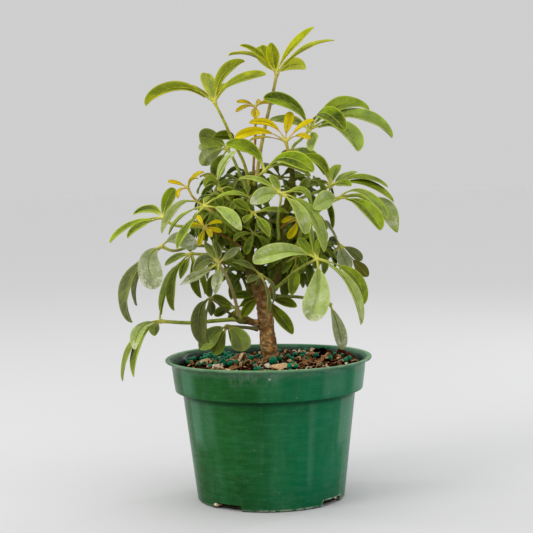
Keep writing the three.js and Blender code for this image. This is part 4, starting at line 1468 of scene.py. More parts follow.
LEAVES: dict[str, Leaf] = {
    "leaf_01": Leaf(((-6.5, 246, 10.5), (-2.4, 271, 10.5), (3, 294.7, 8), (8, 314, 5)),
        (11, 327.5, 3), ((-3, 343, -16.5, 350.6, -6, 5), (-5, 341.5, -25.7, 344, 10, 2.5),
        (8.7, 336, 7, 351.9, 18, 12), (18, 341.5, 39.3, 363.4, -4, 6.5, 0, 0, 0.75, 0.2, 0.5),
        (30.5, 345, 55.6, 353.4, 6, 4.5, 0, 0, 0.5, 0.2, 0.8),
        (22, 334.5, 34, 333, 28, 11.5, 0.12, 0, 0.1, 0.15, 1),
        (3.5, 338, -2, 349.5, 26, 12.5, 0, 0, 0.15, 0.2, 0.4)), radius=1.4, age=Age.FRESH, dust=0,
        light=0.6, point=0.5, foot=0.2, woody=0.6),
    "leaf_02": Leaf(((-11, 240, 12), (-16, 261, 10), (-23, 275, 7), (-29.6, 291, 3)),
        (-37, 306.5, 0), ((-64, 319, -91.5, 307, -6, 9.5), (-52, 317.5, -68, 321.5, 28, 3),
        (-41, 318, -43, 330, 26, 10.5, 0.25, 0, 0, 0.1),
        (-30, 328, -13.5, 339, 6, 10, 0.06, 0, 0.5, 0.17, 0.2),
        (-24.5, 321.5, 2.6, 328.5, -12, 7, 0.06, 0, 0.5, 0.17, 0.25),
        (-33, 315, -26.5, 322.5, 34, 9)), age=Age.FRESH, dust=0.02, light=0.38, point=0.4),
    "leaf_03": Leaf(((21, 256, -8), (22.4, 271.6, -2), (29, 277.5, 3)), (35, 284.5, 7),
        ((24, 303, 0.5, 310, -12, 11), (22, 291.5, 4.5, 294, 34, 9),
        (57, 302.5, 82.5, 300.5, 14, 12, 0.08, 0.05, 0.35, 0.17, 0.36),
        (46, 297.5, 62.5, 284, -32, 10), (69, 295, 100.5, 278.5, -4, 10, 0.25, 0, 0.35, 0.17, 0.55),
        (59.5, 287, 73.5, 268, -26, 11, 0.32, 0, 0.35, 0.17, 0.5),
        (38, 277, 36, 269.5, -38, 9.5, 0.3)), dust=0, light=0.6, point=0.35),
    "leaf_04": Leaf(((-12, 236, 14), (-19, 252, 21), (-24, 264, 26)), (-28, 271, 30),
        ((-38, 278.5, -50, 280, 6, 16, 0.2, 0.1),
        (-25, 280, -38.5, 281.5, -14, 9, 0, 0.05, 0.6, 0.3),
        (-41, 272.5, -50.5, 273.5, 14, 8, 0.6, 0.3), (-40, 268.5, -47.5, 259, 10, 14, 0.55, 0.35),
        (-33.5, 262, -38, 249, -8, 13, 0.1, 0.1, 0.3, 0.25), (-20, 274, -10, 270, 24, 10)),
        dust=0.12, light=0.3, withered=0.2),
    "leaf_05": Leaf(((-9, 242, 12), (-5, 249, 2)), (0, 253.3, -10), ((-9, 270, -29.5, 275.3, 8, 11),
        (16, 263.5, 38, 253, -26, 11), (15, 258.3, 36, 249.5, -8, 4)), dust=0.02, light=0.6,
        point=0.35),
    "leaf_06": Leaf(((10.2, 199, 0), (9.5, 215, -18), (12, 230, -33)), (12.5, 235.5, -35),
        ((-4, 246.5, -20, 248.7, 8, 4), (9, 243, 5, 251, 22, 7), (1, 236, -10.5, 229, -30, 13, 0.8),
        (26, 223.5, 31, 204.5, -18, 10, 0.5), (30, 237, 36, 221, 10, 5),
        (34, 223, 46, 190.5, -8, 9.5, 0.35, 0.05, 0.7)), radius=1.05, dust=0.25, light=0.5,
        point=0.4),
    "leaf_07": Leaf(((17, 228, -4), (28, 232, 6), (40, 236.5, 10)), (51.5, 241.5, 12),
        ((73, 247.2, 95.5, 240, 6, 4.5), (76, 242.5, 100, 228.5, -2, 6),
        (44, 258.5, 30, 264.8, 16, 9), (33, 266, 12.5, 266, 34, 8), (53, 250, 57, 258, 34, 9),
        (60, 247, 70.5, 252.5, 34, 5), (59, 243, 66, 241.5, -30, 5), (40, 243.5, 27, 239, 22, 6),
        (49, 229, 52.5, 208.5, 20, 5)), dust=0.02, light=0.72, point=0.55, foot=0.22),
    "leaf_08": Leaf(((10, 187, 3), (23.5, 196, -2), (28, 208, -5), (45.5, 225, -9)),
        (57, 231.5, -10), ((48, 231, 38, 224, -30, 16, 0.7),
        (74, 236, 95, 216, -12, 6, 0.2, 0.05, 0.45, 0.17, 0.55), (75, 231.8, 93.5, 215.6, 8, 4),
        (75, 226, 89.5, 207, -30, 10.5, 0.06, 0.05, 0.3, 0.17, 0.6),
        (87.5, 228, 100.5, 204.5, 30, 15.5, 0.7, 0.12, 0.85, 0.5)), dust=0.06, light=0.72,
        point=0.45),
    "leaf_09": Leaf(((4, 160, 10), (13.8, 168.5, -5), (20.6, 174.3, -17), (27.8, 179, -29)),
        (39, 185, -45), ((17, 191.3, -10.5, 184, -8, 13, 0.6, 0, 0.15, 0.17, 0.5),
        (39.5, 163, 33.5, 137, -14, 21, 0.9, 0.06, 0.15, 0.17, 0.4),
        (60.5, 169.5, 74.5, 133.5, -16, 6.5, 0.6, 0.2, 0.9, 0.2, 0.4),
        (66.5, 172, 75, 148, 8, 10.5, 0.05, 0.1, 0.3, 0.36, 0.45), (35, 200, 34, 216, 24, 2.5),
        (41, 195, 42, 204, 34, 4), (31, 193, 26.5, 202, 22, 7)), axis=(0, -0.7, 0.7), dust=0.12,
        light=0.75),
    "leaf_10": Leaf(((6, 163, 12), (18, 170.5, 15), (29, 176, 17), (44, 183, 19)),
        (57.5, 194.5, 20), ((59.5, 186.5, 63.5, 176, -24, 11.5, 0.95, 0, 0.15, 0.12, 0.5),
        (66.5, 190.5, 73.5, 183, 6, 8, 0.3, 0.1),
        (67, 183.5, 78.5, 170.5, -8, 10, 0, 0.55, 0.35, 0.55, 0.7), (52, 198, 47.5, 199, 26, 8),
        (50.5, 207.5, 46, 214, -10, 2.5)), age=Age.OLD, dust=0.3, light=0.35, withered=0.15),
    "leaf_11": Leaf(((-14, 200, 10), (-28, 212, -6), (-40, 222, -22)), (-47.5, 227, -30),
        ((-64, 230.5, -81.5, 208, -18, 5.5, 0.5, 0.35, 0.7, 0.25, 0.3),
        (-45, 233, -37.5, 236, 30, 3), (-29, 236.5, -10.5, 232.5, 8, 3),
        (-32, 223.5, -19, 208.5, -24, 10, 0.6), (-63, 221.5, -76, 206.5, 8, 2.3),
        (-60, 212.5, -69.5, 195.5, -28, 6.5)), dust=0.15, point=0.55, foot=0.32),
    "leaf_12": Leaf(((-22, 140, 0), (-25, 155, -8), (-30.5, 172, -29)), (-37.3, 183, -40),
        ((-47, 186.3, -56, 177.5, -28, 11, 0.2, 0.05, 0.3),
        (-52, 175, -67.5, 167.5, -8, 8, 0.85, 0.5), (-38, 171.5, -40.5, 160, -26, 9.5, 0.8),
        (-42.5, 191.5, -47.5, 201, 18, 7, 0.08, 0), (-38, 192, -40, 203, 24, 7, 0.08, 0),
        (-29, 189.5, -19, 196, 10, 7, 0.4, 0.1)), axis=(0, -0.6, 0.8), age=Age.OLD, dust=0.6,
        point=0.85, withered=0.22, woody=0.8),
    "leaf_13": Leaf(((-14, 186, 10), (-33, 194, 1), (-55, 197, -8), (-72, 193.5, -13)),
        (-80.5, 197, -15), ((-69, 203.7, -54.5, 195, -24, 10.5, 0.65, 0, 0.1, 0.17, 0.3),
        (-91.5, 187, -85.5, 165, -22, 19, 0.85, 0, 0.1, 0.08),
        (-107, 170, -107.5, 137.5, -4, 10, 0.16), (-99, 176, -103, 151.5, 18, 6.5, 0.03)),
        age=Age.OLD, dust=0.45, point=0.3),
    "leaf_14": Leaf(((-13, 184, 13), (-35, 189, 11)), (-58, 191, 7), ((-68, 189, -79, 183, 16, 5.5),
        (-71, 176, -74, 147, -12, 7.5), (-63, 182, -67, 172, -14, 7),
        (-56, 175, -52.3, 156.5, 16, 7), (-51.5, 175, -47, 159.5, -8, 5)), light=0.35, point=0.6),
    "leaf_15": Leaf(((-21.5, 139.5, 0), (-40, 138.5, -1), (-60, 137.3, -3)), (-83.5, 139, -5),
        ((-80.5, 158, -71, 183, 26, 7),
        (-98, 134.5, -104, 117.5, -22, 9, 0.85, 0.15, 0.5, 0.17, 0.3),
        (-104, 123.5, -115.5, 93, 4, 5), (-99, 125.5, -106.5, 96, -8, 7),
        (-87.5, 134, -88, 128.5, 26, 8.5)), radius=1.5, dust=0.22, point=0.6),
    "leaf_16": Leaf(((-15, 205, 11), (-35, 209, 9), (-55, 211.5, 6), (-71, 213.5, 2)),
        (-79, 219, 0), ((-76.5, 229, -70, 242.5, 24, 10.5, 0, 0.05, 0.3, 0.17, 0.4),
        (-88, 225.5, -102.5, 223, 22, 7.5, 0.02, 0.05, 0.5, 0.15, 0.5),
        (-100, 216, -121.5, 201.5, -6, 4), (-94, 215, -107.5, 205, -24, 5)), dust=0.02, light=0.65,
        point=0.5, foot=0.22),
    "leaf_17": Leaf(((-15, 218, 10), (-24, 228, 3)), (-34.5, 240, -5),
        ((-34.5, 253.5, -22.5, 269.5, -12, 5.5, 0.75, 0.25, 0.85),
        (-41, 247.5, -47, 242.5, -12, 8, 0.1, 0.2), (-42, 250, -50, 251, 20, 6, 0.05, 0.5),
        (-29, 240, -25, 233, 16, 6)), dust=0.08, point=0.5),
    "leaf_18": Leaf(((-14, 212, 9), (-12, 217, -6)), (-9.3, 221.3, -20),
        ((-2, 213, 2.7, 203.3, -22, 8.5), (5, 224, 18.5, 221, 6, 4),
        (-14, 218, -16.5, 214.5, -24, 5), (-18, 228, -25, 232, -12, 8)), light=0.5, point=0.75),
    "leaf_19": Leaf(((-8, 166, 9), (-7, 168, -6), (-6, 171, -18)), (-4.7, 173, -30),
        ((-15, 181.5, -26.5, 184, -8, 4.5), (0, 160.5, 0.8, 142.6, -8, 3),
        (3.8, 165.5, 4.8, 150, 8, 3), (-10, 171.5, -15, 168, -22, 5)), axis=(0, -0.5, 0.8),
        age=Age.OLD, light=0.3, point=0.75),
    "leaf_20": Leaf(((-22, 139.5, 0), (-29.5, 144, -11), (-38, 152, -20)), (-43.5, 156, -25),
        ((-53, 146, -51, 120.5, -20, 13, 0.08, 0.15, 0.5, 0.1, 0.05), (-47.8, 141, -47, 121, 0, 3),
        (-43.5, 150, -43.5, 143, 18, 7.5)), radius=1.05, age=Age.OLD, dust=0.15, light=0.1,
        point=0.5, withered=0.15, woody=0.35),
    "leaf_21": Leaf(((-8, 131.5, 10), (-20, 133, 3)), (-31.5, 134, -10),
        ((-41, 128.5, -53, 116.5, -10, 15, 0.4, 0.05, 0.4, 0.12, 0.6),
        (-37, 123, -42, 112, -8, 12, 0.1, 0.1, 0.3, 0.17, 0.12), (-28, 124, -26, 116, -4, 4),
        (-23.5, 126, -19.5, 114.5, -8, 16, 0.4, 0.05, 0.1, 0.12, 0.3)), dust=0.05, light=0.24,
        point=0.45, woody=0.55),
    "leaf_22": Leaf(((-3, 150, 14), (-3, 154, 22)), (-3, 157, 27), ((-18, 158, -29, 157, 2, 7),
        (-13, 150.5, -20, 139.5, -10, 9), (11, 154, 22.5, 148, -8, 9),
        (10, 141.5, 19.5, 127, -12, 11), (-4, 165, -6, 166, 22, 9)), light=0.5, dust=0.03,
        point=0.6),
    "leaf_23": Leaf(((3, 157, 14), (28, 155, 15)), (48.5, 149.5, 15),
        ((54, 133.5, 58, 114, -10, 11, 0.85, 0.1, 0.3, 0.1, 0.4), (42, 147, 37, 140, 14, 8),
        (43, 155, 38, 156, 26, 8)), age=Age.OLD, light=0.3, point=0.5),
    "leaf_24": Leaf(((9.5, 178, 5), (16, 183, 6)), (23, 187, 7), ((28, 186, 31, 181, -18, 6),
        (22, 175, 19, 157, -6, 10.5), (28, 193, 30, 194, 26, 9)), light=0.35, point=0.5),
    "leaf_back_1": ringed(((-9.5, 240, 14), (-20, 243, 38)), (-33, 246, 58), (6, 33, 30),
        (-0.3, 0.5, 0.8), 0.12),
    "leaf_back_2": ringed(((-7.5, 241, 13), (2, 245, 34)), (12, 248, 50), (6, 34, 0),
        (0.2, 0.5, 0.8), 0.12),
    "leaf_back_3": ringed(((-13.5, 218, 14), (-11, 213, 44)), (-9, 212, 76), (7, 39, 26),
        (0, 0.7, 0.7), 0.12),
    "leaf_back_4": ringed(((-14.5, 204, 14), (-28, 208, 32)), (-43, 214, 44), (6, 38, 30),
        (-0.35, 0.4, 0.85), 0.12),
    "leaf_back_5": ringed(((-14, 194, 14), (-4, 196, 36)), (9, 199, 53), (6, 35, 0),
        (0.2, 0.7, 0.65), 0.12),
    "leaf_back_6": ringed(((-13, 180, 14), (-20, 180, 38)), (-31, 178, 60), (6, 35, 30),
        (-0.3, 0.6, 0.7), 0.12),
    "leaf_back_7": ringed(((11, 205, 0), (18, 210, 26)), (27, 217, 46), (6, 33, 30),
        (0.3, 0.5, 0.8), 0.12),
    "leaf_back_8": ringed(((8.5, 172, 8), (12, 175, 26)), (15, 177, 48), (6, 32, 20),
        (0.2, 0.6, 0.7), 0.12),
    "young_leaf_1": Leaf(((-8.8, 245, 14), (-8, 262, 17), (-6.5, 278, 16)), (-6, 303, 12),
        ((2, 306.5, 8.5, 304.5, 0, 3.5), (-6, 299.5, -6, 295, -13, 7),
        (-13, 306.5, -20.3, 307, 5, 3), (-13, 303.5, -21, 299.5, -6, 3), (-4, 306, -2, 308, 14, 4)),
        radius=1, age=Age.GOLDEN, dust=0),
    "young_leaf_2": Leaf(((20.2, 260, -9), (19, 267, -10.5)), (17, 275.5, -12),
        ((-2, 284.3, -22, 279.5, -4, 7.5), (6, 289, -11, 291, 10, 6), (18, 287, 21.5, 298.5, 12, 8),
        (28, 287, 39, 292, 2, 4), (27, 280.5, 36, 277.5, -20, 4, 0, 0.15, 0.3, 0.45),
        (3, 279.5, -11, 277.5, -20, 1.5, 0, 0.6, 0.6, 0.45)), age=Age.GOLDEN, dust=0, foot=0.33),
    "young_leaf_3": Leaf(((-15, 192, 10), (-30, 203, 1)), (-47.3, 211, -10),
        ((-54, 213.5, -60.5, 212.5, -2, 4), (-50, 204, -51.7, 197, -8, 4.5),
        (-44, 207.5, -41.7, 204, -16, 4.5), (-40, 215, -32.7, 214.5, 4, 3),
        (-50, 216.5, -52.5, 220.5, 12, 4), (-41, 210, -34, 207.5, -6, 4)), radius=1, age=Age.GOLDEN,
        dust=0, light=0.25),
    "young_leaf_4": Leaf(((-15, 210, 12), (-38, 223, 12), (-55, 234, 11)), (-59.3, 242, 10),
        ((-57, 248, -51, 249, -8, 2.5), (-55, 250, -46.5, 254, 4, 3),
        (-66, 245.5, -74.5, 247.2, -2, 3), (-66, 240, -67, 234.3, -10, 3)), radius=1,
        age=Age.GOLDEN, dust=0),
    "young_leaf_5": Leaf(((11, 209, -2), (17, 213, -7)), (24, 216, -11),
        ((19, 217, 12.7, 213.5, -7, 4), (22.5, 209, 16.8, 201.5, -6, 6.5),
        (29, 220, 33, 217, 6, 4)), radius=1, age=Age.GOLDEN, dust=0, light=0.25),
}

# Smaller leaves inside the crown, which are only dressed and have no solid of their own. Most have
# a low light, which paints them in shade.
INNER_LEAVES: tuple[Leaf, ...] = (
    ringed(((12, 215, -2), (18, 226, 10)), (23, 236, 22), (6, 31, 20), (0.1, -0.25, 0.95), 0.11),
    ringed(((-12, 228, 14), (-15, 238, 26)), (-19, 246, 34), (7, 30, 10), (-0.1, -0.35, 0.9), 0.09),
    ringed(((-14, 220, 10), (-14, 227, 2)), (-13, 233, -2), (6, 23, 35), (0, -0.55, 0.85), 0.12),
    ringed(((-14, 207, 13), (-20, 216, 18)), (-26, 223, 22), (6, 28, 5), (-0.3, -0.3, 0.9), 0.14),
    ringed(((-13, 200, 13), (-4, 208, 20)), (3, 214, 26), (6, 30, 25), (0.1, -0.4, 0.9), 0.12),
    ringed(((-14, 196, 8), (-12, 201, 1)), (-9, 205, -4), (6, 22, 15), (0.1, -0.6, 0.8), 0.11),
    ringed(((-13, 183, 13), (-20, 191, 17)), (-27, 198, 18), (6, 28, 35), (-0.3, -0.35, 0.9), 0.14),
    ringed(((10, 185, 3), (15, 194, 14)), (21, 202, 24), (6, 28, 0), (0.15, -0.4, 0.9), 0.11),
    ringed(((10.5, 203, 0), (22, 208, 8)), (33, 213, 14), (5, 25, 18), (0.35, -0.3, 0.9), 0.12),
    ringed(((-13, 226, 12), (-26, 231, 16)), (-40, 236, 20), (6, 25, 40), (-0.4, -0.2, 0.9), 0.11),
    ringed(((19, 234, -5), (27, 240, 8)), (36, 245, 18), (6, 24, 12), (0.3, -0.2, 0.9), 0.11),
    ringed(((-7, 164, 13), (-5, 174, 26)), (-3, 182, 36), (6, 30, 22), (0, -0.4, 0.9), 0.09),
    ringed(((-10, 174, 12), (-22, 180, 8)), (-34, 184, 6), (6, 23, 8), (-0.4, -0.4, 0.8), 0.12),
    Leaf(((-8, 136, 16), (-18, 142, 24)), (-24, 148, 27), ((-33, 153, -42.5, 157.5, 2, 8),
        (-33, 147, -41, 142.5, 4, 8), (-26, 144, -30, 138, -4, 7), (-15, 153.5, -9, 160, 2, 8)),
        light=0.3, point=0.4),
)


@dataclass
class BladeTemplate:
    """The leaflet blade that all leaflets are copied from: flat, one long and one wide."""

    along: int = 22
    foot_power: float = 0.72
    tip_power: float = 3.8
    tip_blunt: float = 0.5
    least_width: float = 0.035
    row_power: float = 1.15
    columns: tuple[float, ...] = (-1, -0.93, -0.72, -0.42, -0.14, 0, 0.14, 0.42, 0.72, 0.93, 1)
    mesh: Mesh = field(init=False)

    def width(self, share: float) -> float:
        """Give the width at a share of the blade's length, as a share of its widest."""
        widest = max(self.outline(step / 100) for step in range(101))
        return self.outline(share) / widest

    def outline(self, share: float) -> float:
        """Give the plain outline: narrow at the foot, widest past the middle, blunt at the tip."""
        tip = max(1 - share ** self.tip_power, 0) ** self.tip_blunt
        return max(share, 0) ** self.foot_power * tip

    def build(self) -> None:
        """Model the blade from a grid, row by row."""
        across = len(self.columns) - 1
        item = start_with(bpy.ops.mesh.primitive_grid_add, x_subdivisions=across,
                          y_subdivisions=self.along, size=1, calc_uvs=True)
        points = coordinates(item.data)
        rows = np.rint((points[:, 1] + 0.5) * self.along).astype(int)
        ranks = np.rint((points[:, 0] + 0.5) * across).astype(int)
        shares = np.array([math.sin(0.5 * math.pi * row / self.along) ** self.row_power
                           for row in range(self.along + 1)])
        widths = np.array([max(self.width(share), self.least_width) for share in shares])
        points[:, 1] = shares[rows]
        points[:, 0] = np.array(self.columns)[ranks] * 0.5 * widths[rows]
        set_coordinates(item.data, points)
        layer = item.data.uv_layers.active
        for loop, spot in zip(item.data.loops, layer.data):
            row, rank = rows[loop.vertex_index], ranks[loop.vertex_index]
            spot.uv = (0.5 + 0.5 * self.columns[rank], shares[row])
        layer.name = UV_MAP
        self.mesh = item.data
        self.mesh.name = "blade_template"
        bpy.data.objects.remove(item)


@dataclass(frozen=True)
class Filling:
    """The leaves that spiral up round the stem inside the crown, painted dark as in shade by their
    low light.
    """

    count: int = 26
    low: float = 172.0
    high: float = 238.0
    spiral: float = 137.5
    left_stem: float = -14
    right_stem: float = 9

    def leaf(self, index: int) -> Leaf:
        """Describe one of the leaves.

        Args:
            index: The leaf's number on the spiral.

        Returns:
            The leaf.
        """
        rise = (index * GOLDEN_SHARE + 0.3) % 1
        height = self.low + rise * (self.high - self.low)
        angle = math.radians(self.spiral * index)
        reach = 13 + 20 * ((index * 0.377) % 1)
        across, away = math.cos(angle), abs(math.sin(angle))
        stem = self.left_stem if across < 0 or rise > 0.75 else self.right_stem
        hub = (stem + reach * across, height, 15 + 0.9 * reach * away)
        half = (stem + 0.45 * reach * across, height - 7, 13 + 0.4 * reach * away)
        return Leaf(((stem, height - 13, 12), half), hub,
                    ring=Ring(6, 26 + 8 * rise, 40 * index),
                    axis=(0.4 * across, -0.45, 0.85), light=0.04 + 0.16 * rise, point=0.5)


@dataclass
class Foliage:
    """All the compound leaves."""

    template: BladeTemplate = field(default_factory=BladeTemplate)
    filling: Filling = Filling()
    blade_thickness: float = 0.5
    crease: float = 50.0
    mature_ratio: float = 0.37
    young_ratio: float = 0.27
    hub_radius: float = 2.1
    young_hub_radius: float = 1.5
    pale_reach: float = 12.0
    edge_reach: float = 3.0
    # The least and most fold, wave, sway, change of the point and change of the painted light.
    folds: tuple[float, float] = (0.22, 0.6)
    waves: tuple[float, float] = (0.0, 0.045)
    sways: tuple[float, float] = (-0.09, 0.09)
    points: tuple[float, float] = (0.6, 1.3)
    lights: tuple[float, float] = (0.55, 1.4)
    vein_count: float = 8.5
    finishes: dict[Age, tuple[Material, ...]] = field(default_factory=dict)

    def build(self) -> None:
        """Model and dress every leaf."""
        self.template.build()
        for age, green in GREENS.items():
            self.finishes[age] = (self.upper_finish(age, green), self.under_finish(age, green),
                                  self.stalk_finish(age, green))
        for name, leaf in LEAVES.items():
            self.build_leaf(name, leaf, (name,))
        for index, leaf in enumerate(INNER_LEAVES):
            self.build_leaf(f"inner_leaf_{index + 1}", leaf, ())
        for index in range(self.filling.count):
            self.build_leaf(f"filling_leaf_{index + 1}", self.filling.leaf(index), ())

    def build_leaf(self, name: str, leaf: Leaf, nodes: tuple[str, ...]) -> None:
        """Model one compound leaf and let it stand for its solid, where it has one.

        Args:
            name: The leaf's name.
            leaf: Its description.
            nodes: The solids that its blades replace.
        """
        draw = random.Random(name)
        golden = leaf.age is Age.GOLDEN
        hub = place(*leaf.hub)
        ratio = self.young_ratio if golden else self.mature_ratio
        axis = Vector(leaf.axis).normalized()
        blades: list[Item] = []
        lines = [self.leaf_stalk(leaf, hub)]
        for leaflet in self.leaflets(leaf, hub, axis, ratio):
            blade, rib = self.blade(name, leaflet, axis, draw)
            blades.append(blade)
            lines.append(rib)
        cover = join(blades, name + "_blades")
        apply_modifier(cover, "SOLIDIFY", thickness=self.blade_thickness * MM, offset=0,
                       material_offset=1)
        smooth(cover, self.crease)
        stalks = tubes(name + "_stalks", lines)
        knob = self.knob(hub, self.young_hub_radius if golden else self.hub_radius, axis)
        stalks = join([stalks, knob], name + "_stalks")
        points = coordinates(stalks.data) / MM
        pale = np.clip(1 - np.linalg.norm(points - np.array(hub), axis=1) / self.pale_reach, 0, 1)
        gaps = np.linalg.norm(points[:, None, :] - lines[0][0][None, :, :], axis=2).min(axis=1)
        wood = leaf.woody * (gaps < 2.2 * leaf.radius)
        paint(stalks.data, np.c_[pale, wood, np.full(len(pale), leaf.light), np.ones(len(pale))])
        smooth(stalks)
        upper, under, stalk = self.finishes[leaf.age]
        dress(cover, upper, under)
        dress(stalks, stalk)
        slot = "young_foliage" if golden else "foliage"
        seat(cover, slot, *nodes)
        seat(stalks, slot)

    @staticmethod
    def leaf_stalk(leaf: Leaf, hub: Vector) -> Line:
        """Give the points and radii of the leaf's own stalk, with its clasping foot."""
        path = Path.through([*(place(*spot) for spot in leaf.stalk), hub])
        shares = np.linspace(0, 1, max(10, int(path.length / 3)))
        radii = leaf.radius * (1.1 - 0.22 * shares)
        distance = shares * path.length
        radii += 0.75 * leaf.radius * np.exp(-(distance / 3.2) ** 2)
        radii += 0.45 * leaf.radius * np.exp(-((path.length - distance) / 2.4) ** 2)
        return path.at(shares), radii

    def leaflets(self, leaf: Leaf, hub: Vector, axis: Vector, ratio: float) -> list[Leaflet]:
        """Set out a leaf's leaflets.

        Args:
            leaf: The compound leaf.
            hub: Where its leaflets meet.
            axis: The way that its upper side faces.
            ratio: The width of a leaflet as a share of its blade's length.

        Returns:
            The leaflets.
        """
        found = []
        usual = leaf.traits()
        for middle_x, middle_z, tip_x, tip_z, reach, seen, *own in leaf.leaflets:
            middle = place(middle_x, middle_z, leaf.hub[2] + reach * 0.55)
            tip = place(tip_x, tip_z, leaf.hub[2] + reach)
            bend = Path.bend(hub, middle, tip)
            traits = (*own, *usual[len(own):])
            width = max(seen, ratio * bend.length * (1 - traits[3]))
            side = self.width_direction((tip - hub).normalized(), seen, width, axis)
            found.append(Leaflet(bend, side, width, *traits))
        if leaf.ring:
            first = axis.cross(FRONT_TO_BACK).normalized()
            second = axis.cross(first)
            for index in range(leaf.ring.count):
                angle = math.radians(leaf.ring.turn + 360 * index / leaf.ring.count)
                outward = first * math.cos(angle) + second * math.sin(angle)
                reach = leaf.ring.length * (0.84 + 0.16 * ((index * GOLDEN_SHARE) % 1))
                middle = hub + outward * 0.52 * reach + axis * 0.07 * reach
                tip = hub + outward * 0.88 * reach - axis * 0.3 * reach
                bend = Path.bend(hub, middle, tip)
                width = ratio * bend.length * (1 - leaf.foot)
                found.append(Leaflet(bend, outward.cross(axis), width, *usual))
        return found

    @staticmethod
    def width_direction(chord: Vector, seen: float, width: float, axis: Vector) -> Vector:
        """Find the direction of a leaflet's width from how much of it shows.

        Args:
            chord: The direction from the hub to the tip.
            seen: The width that shows from the front.
            width: The full width.
            axis: The way that the leaf's upper side faces.

        Returns:
            The direction whose face turns more to the leaf's axis.
        """
        across = chord.cross(FRONT_TO_BACK).normalized()
        behind = chord.cross(across).normalized()
        shown = min(seen / width, 1)
        hidden = math.sqrt(1 - shown * shown)
        leans = [across * shown + behind * turn * hidden for turn in (1, -1)]
        toward = axis + Vector((0, -0.5, 0.15))
        return max(leans, key=lambda lean: abs(lean.cross(chord).normalized().dot(toward)))

    def blade(self, name: str, leaflet: Leaflet, axis: Vector,
              draw: random.Random) -> tuple[Item, Line]:
        """Copy the blade template onto one leaflet's path.

        Args:
            name: The leaf's name.
            leaflet: The leaflet.
            axis: The way that the leaf's upper side faces.
            draw: The source of its small differences.

        Returns:
            The blade object, and the points and radii of its stalk and rib.
        """
        mesh = self.template.mesh.copy()
        flat, along, _ = coordinates(mesh).T
        bend, width = leaflet.bend, leaflet.width
        side = np.array(leaflet.side)
        foot = leaflet.foot * 0.82
        shares = foot + (1 - foot) * along
        centres, tangents = bend.at(shares), bend.tangents(shares)
        sides = side - tangents * (tangents @ side)[:, None]
        sides /= np.linalg.norm(sides, axis=1)[:, None]
        normals = np.cross(sides, tangents)
        if (normals @ np.array(axis)).mean() < 0:
            normals, sides = -normals, -sides
        fold, wave, phase, sway = (draw.uniform(*span) for span in (
            self.folds, self.waves, (0, FULL_TURN), self.sways))
        narrow = min(leaflet.point * draw.uniform(*self.points), 0.92)
        x = flat * (1 - narrow * np.clip((along - 0.45) / 0.55, 0, 1) ** 1.4)
        lift = fold * (np.abs(x) - 0.17 * (2 * np.abs(x)) ** 3 - 0.16)
        lift += wave * np.sin(along * 9 + phase + 2 * np.sign(x)) * (2 * x) ** 2
        droop = -0.05 * along ** 5
        bow = sway * np.sin(math.pi * along) * (1 - along)
        points = centres + sides * ((x + bow) * width)[:, None] + normals * (
            (lift + droop) * width)[:, None]
        set_coordinates(mesh, points * MM)
        shown = np.array([self.template.width(share) for share in along])
        edge = np.minimum((0.5 * shown - np.abs(flat)) * width, (1 - along) * bend.length * 0.9)
        light = min(max(leaflet.light * draw.uniform(*self.lights), 0), 1)
        look = np.tile((leaflet.dust, leaflet.withered, light, 1.0), (len(flat), 1))
        look[:, 3] = np.clip(edge / self.edge_reach, 0, 1)
        paint(mesh, look)
        return add_object(name + "_blade", mesh), self.rib(leaflet, foot, shares, normals)

    def rib(self, leaflet: Leaflet, foot: float, shares: np.ndarray,
            normals: np.ndarray) -> Line:
        """Set out the stalk of a leaflet and the rib that runs on under its blade.

        Args:
            leaflet: The leaflet.
            foot: The share of its path where the blade starts.
            shares: The share of the path at each point of the blade.
            normals: The way that the blade faces at each point.

        Returns:
            The points and radii.
        """
        bend = leaflet.bend
        steps = np.linspace(0, 0.86, 12)
        span = foot + (1 - foot) * np.maximum(steps - foot, 0) / (1 - foot)
        rib_shares = np.where(steps < foot, steps, span)
        under = np.array([normals[np.argmin(np.abs(shares - share))] for share in rib_shares])
        sink = np.clip((rib_shares - 0.4 * foot) / foot, 0, 1) * (0.32 * self.blade_thickness)
        thick = 0.62 if leaflet.width > 8 else 0.5
        radii = thick * np.clip(1.12 - rib_shares, 0.28, 1) ** 1.2
        radii *= 1 + 0.75 * np.exp(-(rib_shares * bend.length / 5) ** 2)
        return bend.at(rib_shares) - under * sink[:, None], radii

    @staticmethod
    def knob(hub: Vector, radius: float, axis: Vector) -> Item:
        """Model the small swelling where the leaflets meet."""
        item = start_with(bpy.ops.mesh.primitive_uv_sphere_add, segments=16, ring_count=10,
                          radius=radius * MM)
        turn = axis.to_track_quat("Z", "Y").to_matrix().to_4x4()
        flatten = Matrix.Diagonal((1, 1, 0.72, 1))
        item.data.transform(Matrix.Translation(hub * MM) @ turn @ flatten)
        return item

